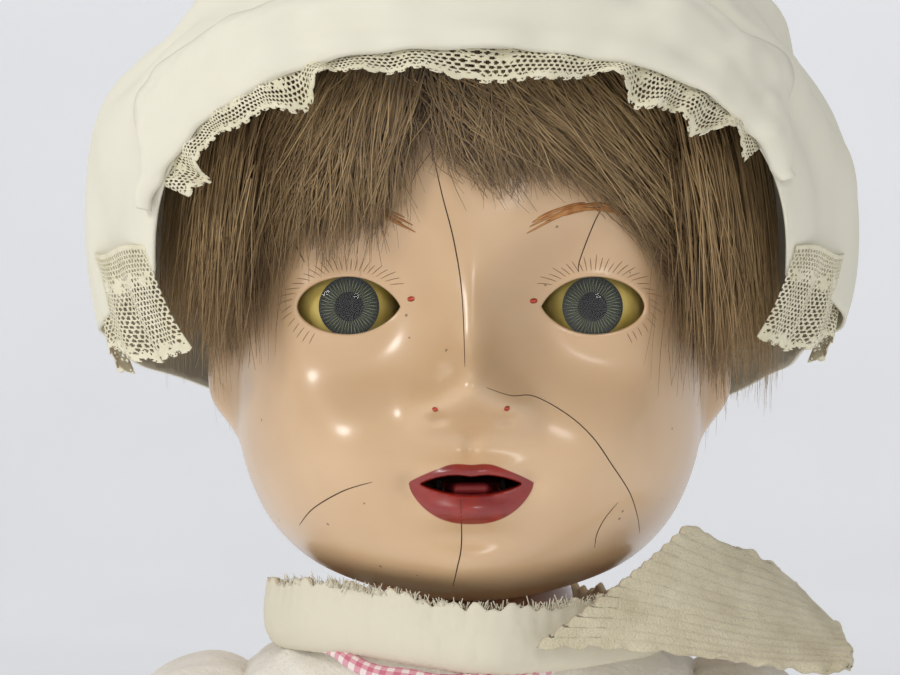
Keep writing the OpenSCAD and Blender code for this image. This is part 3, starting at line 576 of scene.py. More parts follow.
def porcelain_finish() -> bpy.types.Material:
    """Returns the glazed flesh tint with fired lips, fine specks and a hard gloss, and painted shade on the inner
    walls of the eye and mouth openings, which inside the mouth also stands for its dark red paint.
    """
    tree = Tree("painted_porcelain")
    cloud = tree.noise(34, 3.0)
    skin = tree.ramp(cloud, [(0.3, (204, 168, 126)), (0.7, (216, 182, 142))])
    speck = tree.add("TexVoronoi", Scale=210.0)
    tree.join(tree.coords, speck.inputs["Vector"])
    spots = tree.math("LESS_THAN", speck.outputs["Distance"], 0.075)
    sparse = tree.math("GREATER_THAN", tree.noise(9, 1.0), 0.56)
    skin = tree.mix(tree.math("MULTIPLY", tree.math("MULTIPLY", spots, sparse), 0.7), skin, (96, 66, 42))
    edge = tree.remap(tree.named("lip"), clamp=True, From_Min=-0.12, From_Max=0.12)
    red = tree.ramp(tree.noise(5, 2.0), [(0.3, (128, 20, 10)), (0.7, (156, 36, 20))])
    skin = tree.mix(edge, skin, red)
    # Painted shade on the inner walls of the eye and mouth openings, by the inner share; inside the mouth the dark
    # red is also its paint.
    skin = tree.mix(tree.named("inner"), skin, (58, 20, 16))
    tree.join(skin, tree.shader.inputs["Base Color"])
    tree.join(tree.remap(tree.noise(12, 3.0), To_Min=0.34, To_Max=0.46), tree.shader.inputs["Roughness"])
    tree.bump(tree.noise(7, 2.0), 0.05)
    tree.set(Coat_Weight=0.7, Coat_Roughness=0.21, Coat_IOR=1.5, IOR=1.5)
    tree.set(Subsurface_Weight=0.12, Subsurface_Radius=(0.9, 0.5, 0.3), Subsurface_Scale=0.002)
    return tree.material


def hair_finish() -> bpy.types.Material:
    """Returns brown mohair, lighter on some locks, with painted shade darkening the strands nearer the head."""
    tree = Tree("brown_mohair")
    lock_and_shade, cloud = tree.math("MULTIPLY", tree.named("tone_and_shade"), 0.75), tree.math(
        "MULTIPLY", tree.noise(9, 2.0), 0.35
    )
    mixed = tree.math("ADD", lock_and_shade, cloud)
    colour = tree.ramp(
        mixed, [(0.08, (62, 44, 25)), (0.42, (114, 88, 55)), (0.74, (156, 127, 84)), (1.0, (196, 166, 118))]
    )
    tree.join(colour, tree.shader.inputs["Base Color"])
    tree.bump(tree.noise(0.5, 2.0), 0.03)
    tree.set(Roughness=0.45, Sheen_Weight=0.25, Sheen_Roughness=0.4, Specular_IOR_Level=0.4)
    return tree.material


def check_finish() -> bpy.types.Material:
    """Returns pink and white gingham, its checks laid by the strip's own UV map."""
    tree = Tree("pink_check")
    uv = tree.add("UVMap").outputs["UV"]
    bands = []
    for along, count in zip(tree.axes(uv), (96.0, 2.0)):
        wave = tree.math("SINE", tree.math("MULTIPLY", along, FULL_TURN * count))
        bands.append(tree.math("GREATER_THAN", wave, 0.0))
    share = tree.math("MULTIPLY", tree.math("ADD", bands[0], bands[1]), 0.5)
    colour = tree.ramp(share, [(0.0, (240, 226, 220)), (0.5, (224, 160, 172)), (1.0, (206, 112, 132))])
    tree.join(colour, tree.shader.inputs["Base Color"])
    tree.bump(tree.noise(0.4, 2.0), 0.12)
    tree.set(Roughness=0.85, Sheen_Weight=0.3)
    return tree.material


def eye_white_finish(name: str, centre: tuple[float, float, float]) -> bpy.types.Material:
    """Returns aged yellow eye glass, blotched darker brown towards the nose."""
    tree = Tree(name)
    side = 1 if centre[0] > 0 else -1
    x, _, _ = tree.axes(tree.placed(centre))
    inward = tree.remap(tree.math("MULTIPLY", x, float(-side)), clamp=True, From_Min=6.5, From_Max=11.5)
    base = tree.ramp(tree.noise(6, 2.0), [(0.3, (188, 158, 74)), (0.7, (214, 192, 110))])
    nose_side_brown = tree.math("MULTIPLY", inward, tree.noise(2.5, 4.0))
    colour = tree.mix(tree.math("MULTIPLY", nose_side_brown, 0.9), base, (120, 74, 24))
    tree.join(colour, tree.shader.inputs["Base Color"])
    tree.bump(tree.noise(3, 1.0), 0.02)
    tree.set(Roughness=0.12, Coat_Weight=0.8, Coat_Roughness=0.03)
    return tree.material


def iris_finish(name: str, centre: tuple[float, float, float], radius: float) -> bpy.types.Material:
    """Returns grey-green iris glass with pale spokes and a dark rim."""
    tree = Tree(name)
    x, _, z = tree.axes(tree.placed(centre))
    reach = tree.math(
        "POWER", tree.math("ADD", tree.math("MULTIPLY", x, x), tree.math("MULTIPLY", z, z)), 0.5
    )
    angle = tree.math("ARCTAN2", z, x)
    spokes = tree.math("SINE", tree.math("MULTIPLY", angle, 46.0))
    finer = tree.math(
        "SINE", tree.math("ADD", tree.math("MULTIPLY", angle, 83.0), tree.math("MULTIPLY", reach, 2.2))
    )
    lines = tree.math(
        "MULTIPLY", tree.math("ADD", tree.math("MULTIPLY", spokes, 0.5), tree.math("MULTIPLY", finer, 0.5)),
        0.5
    )
    rim = tree.remap(reach, clamp=True, From_Min=radius * 0.74, From_Max=radius * 0.97)
    body = tree.ramp(
        tree.math("ADD", lines, 0.5), [(0.3, (20, 26, 18)), (0.62, (56, 64, 46)), (0.97, (158, 164, 118))]
    )
    colour = tree.mix(rim, body, (14, 18, 13))
    tree.join(colour, tree.shader.inputs["Base Color"])
    tree.bump(lines, 0.03)
    tree.set(Roughness=0.3)
    return tree.material


def pupil_finish() -> bpy.types.Material:
    """Returns near-black pupil glass."""
    return Finish("pupil_glass", ((4, 4, 5), (9, 8, 8)), 0.3, 6, 6.0, 0.001).make()


def clear_glass_finish() -> bpy.types.Material:
    """Returns the clear glass over the iris."""
    tree = Tree("clear_glass")
    tint = tree.ramp(tree.noise(6, 2.0), [(0.3, (252, 253, 250)), (0.7, (255, 255, 255))])
    tree.join(tint, tree.shader.inputs["Base Color"])
    tree.bump(tree.noise(5, 1.0), 0.004)
    tree.set(Roughness=0.0, Transmission_Weight=1.0, IOR=1.2)
    return tree.material


def dress(piece: bpy.types.Object, material: bpy.types.Material, body: str) -> bpy.types.Object:
    """Gives a new piece its finish and the body it rides on, and reports it.

    Returns:
        The same piece.
    """
    piece.data.materials.clear()
    piece.data.materials.append(material)
    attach(piece, body)
    area = sum(face.area for face in piece.data.polygons)
    log.info("%s: %d faces, %.5f square metres, on %s", piece.name, len(piece.data.polygons), area, body)
    return piece


def dress_node(node: str, material: bpy.types.Material) -> None:
    """Gives a CAD node its finish in every material slot."""
    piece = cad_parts[node]
    if not piece.data.materials:
        piece.data.materials.append(material)
    for slot in piece.material_slots:
        slot.material = material


# --- the head ---------------------------------------------------------------------------------


@dataclass
class PorcelainHead:
    """The painted head: its form, openings, fired paint and old cracks. Sizes in millimetres."""

    half_width: float = 51.5
    face_depth: float = 53.5
    skull_depth: float = 61.0
    height: float = 138.0
    chin_z: float = 215.0
    eye_x: float = 25.75
    eye_y: float = -29.54
    eye_z: float = 278.0
    lid_r: float = 15.4
    opening_wide: float = 22.4
    opening_up: float = 6.6
    opening_down: float = 6.1
    mouth_z: float = 241.0
    neck_z: float = 205.0
    neck_r: float = 24.0

    def __post_init__(self) -> None:
        """Works out the smooth form and the outline of an eye opening."""
        shares = [
            [0.000, 0.155, 0.49, 0.10], [0.011, 0.37, 0.67, 0.26], [0.051, 0.65, 0.86, 0.49],
            [0.112, 0.835, 0.95, 0.69],
            [0.188, 0.942, 0.99, 0.82], [0.268, 0.99, 1.00, 0.90], [0.377, 1.00, 0.99, 0.95],
            [0.493, 1.00, 1.00, 0.985],
            [0.609, 0.99, 0.99, 1.00], [0.725, 0.942, 0.935, 0.95], [0.833, 0.796, 0.766, 0.80],
            [0.920, 0.563, 0.523, 0.575], [0.978, 0.282, 0.262, 0.295], [1.000, 0.0, 0.0, 0.0],
        ]
        rows = [
            [self.chin_z + h * self.height, w * self.half_width, f * self.face_depth, b * self.skull_depth]
            for h, w, f, b in shares
        ]
        self.form = RowForm(rows, 2.3)
        share = np.linspace(-1, 1, 400)
        blunt = np.where(share > 0, 0.5, 0.72)
        up = self.opening_up * (1 - share**2) ** blunt
        down = -self.opening_down * (1 - share**2) ** blunt
        x = share * self.opening_wide / 2
        around = np.concatenate([np.arctan2(up, x), np.arctan2(down, x)])
        reach = np.concatenate([np.hypot(x, up), np.hypot(x, down)])
        order = np.argsort(around)
        self.rim_angle, self.rim_reach = around[order], reach[order]

    def face_features(self) -> list[list[float]]:
        """Returns the rises of the face: place across, place up from the eyes, width, height and depth."""
        return [
            [0, -17, 7, 7, 11], [0, -6, 5, 11, 4], [-8, -21, 5, 4.5, 4.5], [8, -21, 5, 4.5, 4.5],
            [-29, -31, 16, 14, 5],
            [29, -31, 16, 14, 5], [0, -34.5, 10, 3.5, 3.5], [0, -42.5, 9, 3.6, 4], [0, -56, 13, 8, 4],
            [-24, 17, 14, 6, 1.5], [24, 17, 14, 6, 1.5], [0, -29.3, 1.6, 3.2, -0.9],
            [-12.6, -37, 2.6, 2.6, -1.2],
            [12.6, -37, 2.6, 2.6, -1.2], [0, -48.5, 8, 2.6, -1.4], [-7, -23.4, 2.0, 1.2, -2.0],
            [7, -23.4, 2.0, 1.2, -2.0],
        ]

    def face_y(self, x: np.ndarray, y: np.ndarray, z: np.ndarray) -> np.ndarray:
        """Returns y of the face with its features and its seats for the eyes.

        Args:
            x: Places across.
            y: Places on the plain form.
            z: Heights.
        """
        facing = ease(-y / self.face_depth * 1.6)
        rise = sum(
            deep * np.exp(-(((x - fx) / wide) ** 2) - ((z - self.eye_z - fz) / tall) ** 2)
            for fx, fz, wide, tall, deep in self.face_features()
        )
        rise = rise + 0.45 * ease(self.lip_paint(x, z) / 1.4)
        away = np.hypot(np.abs(x) - self.eye_x, z - self.eye_z)
        reach = self.lid_r * 0.82 * np.tanh(away / (self.lid_r * 0.82))
        lid_y = self.eye_y - np.sqrt(self.lid_r**2 - reach**2)
        near = np.exp(-((away / 16.5) ** 3)) * facing
        return (y - rise * facing) * (1 - near) + lid_y * near

    def on_face(self, x: np.ndarray, z: np.ndarray, lift: float = 0.0) -> np.ndarray:
        """Returns points on the front of the face over x and z, lifted forwards."""
        x, z = np.asarray(x, float), np.asarray(z, float)
        return np.stack([x, self.face_y(x, self.form.front_y(x, z), z) - lift, z], axis=-1)

    def lip_paint(self, x: np.ndarray, z: np.ndarray) -> np.ndarray:
        """Returns how far inside the painted lips each place is, negative outside."""
        share = np.clip(np.abs(x) / 13.2, 0, 1)
        bow = 0.45 * np.exp(-((x / 2.0) ** 2)) - 0.2 * np.exp(-(((np.abs(x) - 4.6) / 2.0) ** 2))
        top = self.mouth_z + 0.2 + 4.3 * (1 - share**1.7) ** 0.95 - bow
        low = self.mouth_z + 0.2 - 8.6 * (1 - share**2.4) ** 0.72
        return np.minimum(np.minimum(top - z, z - low), 13.2 - np.abs(x))

    def mouth_gap(self, x: np.ndarray, z: np.ndarray) -> np.ndarray:
        """Returns a measure that is negative inside the mouth opening."""
        share = np.clip(np.abs(x) / 10.8, 0, 1)
        top = self.mouth_z + 2.3 * (1 - share**2.2) ** 0.8 - 0.5 * np.exp(-((x / 2.5) ** 2))
        low = self.mouth_z - 2.5 * (1 - share**2) ** 0.8
        return np.maximum(np.maximum(z - top, low - z), np.abs(x) - 10.8)

    def eye_gap(self, x: np.ndarray, z: np.ndarray) -> np.ndarray:
        """Returns a measure that is negative inside the eye openings."""
        across, up = np.abs(x) - self.eye_x, z - self.eye_z
        edge = np.interp(np.arctan2(up, across), self.rim_angle, self.rim_reach)
        return np.hypot(across, up) - edge

    def openings(self, points: np.ndarray) -> np.ndarray:
        """Returns a measure that is negative where the porcelain is open."""
        x, y, z = points.T
        gap = np.minimum(self.eye_gap(x, z), self.mouth_gap(x, z))
        return np.where(y < 0, gap, 9.0)

    def place(self, u: np.ndarray, v: np.ndarray) -> np.ndarray:
        """Returns the head's surface for u around and v up, closer together over the face."""
        turn = math.pi * ((2 * u - 1) - 0.5 * np.sin(math.pi * (2 * u - 1)) / math.pi)
        table = self.form.table
        steps = np.hypot(np.diff(table[:, 0]), np.diff(table[:, 1]))
        middle = (table[1:, 0] + table[:-1, 0]) / 2
        weight = np.where((middle > 222) & (middle < 306), 1.9, 0.8)
        along = np.concatenate([[0], np.cumsum(steps * weight)])
        index = np.interp(v * along[-1], along, np.arange(len(table)))
        z = np.interp(index, np.arange(len(table)), table[:, 0])
        points = self.form.point(turn, z)
        ear = 7.5 * np.exp(-(((points[:, 1] - 4) / 8.5) ** 4) - ((z - 268) / 15) ** 4)
        hollow = 3.2 * np.exp(-(((points[:, 1] - 2) / 4) ** 2) - ((z - 270) / 8) ** 2)
        points[:, 0] += np.sign(points[:, 0]) * (ear - hollow) * ease((np.abs(points[:, 0]) - 20) / 20)
        front = points[:, 1] < 0
        points[front, 1] = self.face_y(*points[front].T)
        return points

    def shell(self) -> bpy.types.Object:
        """Builds the head with rounded rims at the eyes and the mouth."""
        head = shaped_grid("head_porcelain", 330, 262, self.place, self.openings)
        work = bmesh.new()
        work.from_mesh(head.data)
        bmesh.ops.remove_doubles(work, verts=work.verts, dist=0.002 * MM)
        bmesh.ops.recalc_face_normals(work, faces=work.faces)
        inner = work.verts.layers.float.new("inner")
        edges = [e for e in work.edges if e.is_boundary and e.verts[0].co.z > 0.225 and e.verts[0].co.y < 0]
        # The walls grown into the openings carry a share of painted shade for the glaze: full inside the mouth, 0.6
        # at the eyes.
        for inward, shrink, dark in ((0.3, 0.06, 0.0), (0.5, 0.16, 0.1), (4.2, 0.1, 1.0), (3.0, -0.4, 1.0)):
            grown = bmesh.ops.extrude_edge_only(work, edges=edges)["geom"]
            edges = [g for g in grown if isinstance(g, bmesh.types.BMEdge)]
            for vert in (g for g in grown if isinstance(g, bmesh.types.BMVert)):
                centre_x = math.copysign(self.eye_x, vert.co.x) if vert.co.z > 0.26 else 0.0
                centre_z = self.eye_z if vert.co.z > 0.26 else self.mouth_z
                vert.co.y += inward * MM * (1.0 if vert.co.z < 0.26 else 0.18)
                vert.co.x -= shrink * MM * np.sign(vert.co.x / MM - centre_x)
                vert.co.z -= shrink * MM * np.sign(vert.co.z / MM - centre_z)
                vert[inner] = dark if vert.co.z < 0.26 else dark * 0.6
        work.to_mesh(head.data)
        work.free()
        points = coordinates(head)
        lip = np.where(points[:, 1] < 0, self.lip_paint(points[:, 0], points[:, 2]), -9)
        attribute(head, "lip", lip)
        smooth_shaded(head)
        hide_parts("head_shell")
        return head

    def neck(self) -> bpy.types.Object:
        """Builds the round neck that turns in the socket cup."""
        deselect()
        bpy.ops.mesh.primitive_uv_sphere_add(
            segments=96, ring_count=48, radius=self.neck_r * MM, location=(0, 0, 0)
        )
        neck = bpy.context.object
        neck.name = "head_neck"
        points = coordinates(neck)
        rising = ease(points[:, 2] / self.neck_r)
        points[:, 2] += self.neck_z + 9 * rising
        move_to(neck, points)
        return smooth_shaded(neck)

    def strokes(
        self, name: str, lines: list[list[tuple[float, float]]], width: float, lift: float
    ) -> bpy.types.Object:
        """Lays fine tapered strokes on the face.

        Args:
            name: Name of the piece.
            lines: Places across and heights of each stroke's points.
            width: Widest width of a stroke.
            lift: Height above the surface.
        """
        paths, widths, outs = [], [], []
        for line in lines:
            smooth = catmull(np.array(line, float), max(14, 9 * len(line)))
            path = self.on_face(smooth[:, 0], smooth[:, 1], lift)
            share = np.linspace(0, 1, len(path))
            paths.append(path)
            widths.append(width * (0.25 + 0.75 * np.sin(math.pi * share) ** 0.6))
            step = 0.3
            slope_x = self.on_face(smooth[:, 0] + step, smooth[:, 1])[:, 1] - path[:, 1] - lift
            slope_z = self.on_face(smooth[:, 0], smooth[:, 1] + step)[:, 1] - path[:, 1] - lift
            out = np.stack([slope_x / step, -np.ones(len(path)), slope_z / step], axis=1)
            outs.append(out / np.linalg.norm(out, axis=1)[:, None])
        return ribbon_mesh(name, paths, widths, outs, 0.08)

    def cracks(self) -> bpy.types.Object:
        """Draws the old hairline cracks."""
        lines = [
            [(-9.4, 315.7), (-6.2, 302), (-3.4, 291.8), (-1.9, 281), (-1.1, 265.2)],
            [(31.9, 306.9), (27.9, 299.1), (25.5, 295), (23, 287.8), (22.6, 285.5)],
            [(-37, 291), (-35.3, 287.6)],
            [(3, 261), (8.3, 259.3), (13, 259.5), (20, 255.7), (25.3, 250.8), (29.6, 245),
             (33.2, 239.1), (35.5, 233.7), (36.2, 229.5)],
            [(31.1, 236.9), (28.1, 233.5), (26.6, 230.3), (26.4, 226.8)],
            [(-20.4, 241.2), (-26.8, 239.1), (-33.2, 235.2), (-36.6, 231.6)],
            [(-2.3, 237.8), (-2.1, 228.4), (-2.8, 223.1), (-3.6, 219)],
        ]
        draw = np.random.default_rng(5)
        jagged = [
            [(x + draw.uniform(-0.25, 0.25), z + draw.uniform(-0.25, 0.25)) for x, z in line]
            for line in lines
        ]
        return self.strokes("head_cracks", jagged, 0.26, 0.03)

    def brows(self) -> bpy.types.Object:
        """Paints each brow as a fan of fine overlapping strokes."""
        draw = np.random.default_rng(11)
        lines = []
        for side in (-1, 1):
            for k in range(30):
                start = k / 30 * 0.72
                rise = draw.uniform(-1.25, 1.25)
                length = draw.uniform(0.22, 0.34)
                line = []
                for share in np.linspace(start, min(start + length, 1.0), 5):
                    x = 11.6 + 23.4 * share
                    arch = 294.4 + 5.0 * math.sin(min(share * 1.18, 1.0) * math.pi * 0.62) - 2.0 * share**3
                    spread = rise * (1 - 0.6 * share)
                    line.append((side * x, arch + spread + 0.9 * (share - start)))
                lines.append(line)
        return self.strokes("head_brows", lines, 0.5, 0.05)

    def lashes(self) -> bpy.types.Object:
        """Paints the lashes, which fan out round the upper lid and the outer lower lid."""
        draw = np.random.default_rng(7)
        lines = []
        for side in (-1, 1):
            for k in range(30):
                angle = math.radians(-38 + 190 * k / 29)
                edge = float(
                    np.interp(math.atan2(math.sin(angle), math.cos(angle)), self.rim_angle, self.rim_reach)
                )
                start, length = edge + 1.0, draw.uniform(2.2, 3.6) * (0.75 if angle < 0 else 1.0)
                lean = 0.32 * math.cos(angle)
                line = []
                for share in (0.0, 0.5, 1.0):
                    reach = start + length * share
                    turned = angle - lean * share * 0.35
                    line.append(
                        (side * (self.eye_x + reach * math.cos(turned)), self.eye_z + reach * math.sin(turned))
                    )
                lines.append(line)
        return self.strokes("head_lashes", lines, 0.17, 0.03)

    def dots(self) -> bpy.types.Object:
        """Paints the small red dots at the inner corners of the eyes and at the nostrils."""
        places = [(-12.6, 279.6, 0.75), (13.2, 279.2, 0.8), (-7.5, 256.6, 0.55), (7.4, 256.8, 0.6)]
        lines, grown = [], []
        for x, z, r in places:
            lines.append([(x - r, z - 0.1), (x, z), (x + r, z + 0.1)])
            grown.append(r)
        return self.strokes("head_dots", lines, 1.1, 0.05)

    def build(self) -> None:
        """Builds and dresses the head's pieces."""
        glaze = porcelain_finish()
        dress(self.shell(), glaze, "head")
        dress(self.neck(), glaze, "head")
        dress(self.cracks(), LINES.make(), "head")
        dress(self.brows(), BROW_PAINT.make(), "head")
        dress(self.lashes(), LASH_PAINT.make(), "head")
        dress(self.dots(), DOT_PAINT.make(), "head")


# --- the wig ----------------------------------------------------------------------------------


@dataclass
class MohairWig:
    """The wig: a matted base and locks of fine strands combed down from the crown. Sizes in millimetres."""

    head: PorcelainHead
    strand: float = 0.34
    points: int = 8
    seed: int = 3

    def edge(self, points: np.ndarray) -> np.ndarray:
        """Returns a measure that is negative below the front hairline and the nape."""
        _, y, z = points.T
        line = np.interp(y, [-62, -46, -30, -14, 4, 40, 72], [322, 318, 302, 284, 276, 246, 228])
        return z - line

    def base(self) -> bpy.types.Object:
        """Builds the matted base under the strands."""
        form = self.head.form

        def place(u: np.ndarray, v: np.ndarray) -> np.ndarray:
            turn = math.pi * (2 * u - 1)
            z = 224 + (352.2 - 224) * np.sin(v * math.pi / 2)
            points = form.point(turn, z, 3.4)
            centre = np.clip((z - 330) / 30, 0, 1)[:, None]
            points += normal_like(points) * 0.9 * crumple(points, 7, 21)[:, None] * (1 - centre)
            points[:, 2] += 2.2 * np.clip((z - 320) / 30, 0, 1)
            return points

        piece = thickened(shaped_grid("wig_base", 200, 110, place, self.edge), 1.0, -1)
        # The base is coloured dark as painted shade under the strands.
        attribute(piece, "tone_and_shade", np.full(len(piece.data.vertices), 0.32))
        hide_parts("wig")
        return piece

    def locks(
        self, name: str, count: int, clumps: list[tuple[float, float, float, float]], seed: int,
        spread: float = 0.05, full: float = 0.0,
    ) -> bpy.types.Object:
        """Lays strands in clumps.

        Args:
            name: Name of the piece.
            count: How many strands.
            clumps: Turn and height of the root, turn and height of the tip, for each clump.
            seed: Chooses the strands.
            spread: How far a clump's roots scatter, in radians.
            full: How much further out the strands stand.
        """
        draw = np.random.default_rng(seed)
        form = self.head.form
        share = np.linspace(0, 1, self.points)
        paths, widths, outs, tones = [], [], [], []
        clump_tone = draw.uniform(0.15, 0.85, len(clumps))
        for _ in range(count):
            which = int(draw.integers(len(clumps)))
            root_turn, root_z, tip_turn, tip_z = clumps[which]
            stray = draw.random() < 0.07
            wander = 1.5 if stray else 1.0
            root_turn += draw.normal(0, spread)
            tip_turn += draw.normal(0, spread * 0.85 * wander)
            root_z += draw.normal(0, 2.0)
            tip_z += max(draw.normal(0, 3.0 * wander), -4.5) + abs(draw.normal(0, 3.0))
            bend = draw.uniform(0.9, 1.7)
            wave, phase = draw.normal(0, 0.034), draw.uniform(0, 6.28)
            turn = root_turn + (tip_turn - root_turn) * share**bend + wave * np.sin(share * 6 + phase) * share
            z = root_z + (tip_z - root_z) * share ** draw.uniform(0.95, 1.25)
            z += draw.normal(0, 0.9) * np.sin(share * 8 + phase)
            depth = draw.random()
            high = 3.4 + (5.8 + full * 0.6) * depth
            low = 0.8 + (4.2 + full) * depth + (2.0 if stray else 0)
            lift = high + (low - high) * share**1.6
            path = form.point(turn, z, 0.0)
            front = path[:, 1] < 0
            path[front, 1] = self.head.face_y(*path[front].T)
            out = normal_like(path)
            path = path + out * lift[:, None]
            thick = self.strand * draw.uniform(0.65, 1.25)
            paths.append(path)
            widths.append(thick * (1 - 0.8 * share**2.2))
            outs.append(out)
            # Painted shade: strands lying nearer the head, with a low depth, are coloured darker; the clump's share
            # and the noise vary the colour at random.
            tone_and_shade = np.clip(clump_tone[which] * 0.5 + 0.5 * depth + draw.normal(0, 0.12), 0, 1)
            tones.append(np.full(3 * self.points, tone_and_shade))
        piece = ribbon_mesh(name, paths, widths, outs, 0.4)
        attribute(piece, "tone_and_shade", np.concatenate(tones))
        return piece

    def fringe_clumps(self) -> list[tuple[float, float, float, float]]:
        """Returns the clumps that sweep to both sides of the part over the forehead."""
        draw = np.random.default_rng(self.seed)
        form = self.head.form
        clumps = []
        tips_left = ([-60, -55, -47, -38, -28, -20, -14.5], [268, 276, 284, 286, 288, 291, 301])
        tips_right = ([-3.5, 4, 12, 20, 30, 39, 47, 54, 60], [305, 298, 302, 304, 301, 291, 283, 276, 268])
        for xs, zs, many in ((*tips_left, 90), (*tips_right, 110)):
            for tip_x in np.linspace(xs[0], xs[-1], many):
                tip_x += draw.normal(0, 1.0)
                tip_z = float(np.interp(tip_x, xs, zs)) + draw.normal(0, 2.0) + 3.0
                part = -11.0
                root_x = part + (tip_x - part) * draw.uniform(0.25, 0.75)
                root_z = draw.uniform(322, 332)
                root_turn = float(form.turn_at(np.array(root_x), np.array(root_z), 6.0))
                tip_turn = float(form.turn_at(np.array(tip_x), np.array(tip_z), 4.5))
                clumps.append((root_turn, root_z, tip_turn, tip_z))
        return clumps

    def back_clumps(self) -> list[tuple[float, float, float, float]]:
        """Returns the clumps over the temples and the nape."""
        draw = np.random.default_rng(self.seed + 1)
        clumps = []
        for side in (-1, 1):
            for turn in np.linspace(1.15, math.pi, 90):
                tip_z = float(np.interp(turn, [1.15, 1.35, 1.7, 2.2, math.pi], [272, 270, 262, 242, 229]))
                turn += draw.normal(0, 0.03)
                tip_z += draw.normal(0, 2.0) + 2
                clumps.append(
                    (side * turn, draw.uniform(296, 316), side * (turn - 0.05 + draw.normal(0, 0.04)), tip_z)
                )
        return clumps

    def side_clumps(self) -> list[tuple[float, float, float, float]]:
        """Returns the full, loose clumps beside the face."""
        draw = np.random.default_rng(self.seed + 2)
        clumps = []
        for side, low in ((-1, 268), (1, 263)):
            for turn in np.linspace(0.9, 1.65, 64):
                tip = side * (turn + draw.normal(0.02, 0.05))
                clumps.append(
                    (side * (turn - 0.1), draw.uniform(304, 322), tip, low + abs(draw.normal(0, 7)))
                )
        return clumps

    def build(self) -> None:
        """Builds and dresses the wig."""
        finish = hair_finish()
        dress(self.base(), finish, "head")
        dress(self.locks("wig_fringe", 4300, self.fringe_clumps(), 31), finish, "head")
        dress(self.locks("wig_back", 3600, self.back_clumps(), 32, 0.06), finish, "head")
        dress(self.locks("wig_sides", 2600, self.side_clumps(), 33, 0.06, 12.0), finish, "head")


def normal_like(points: np.ndarray) -> np.ndarray:
    """Returns outward directions from the middle of the head."""
    out = points - np.array([0.0, 2.0, 285.0])
    out[:, 2] *= 0.75
    return out / np.linalg.norm(out, axis=1)[:, None]


# --- the bonnet -------------------------------------------------------------------------------


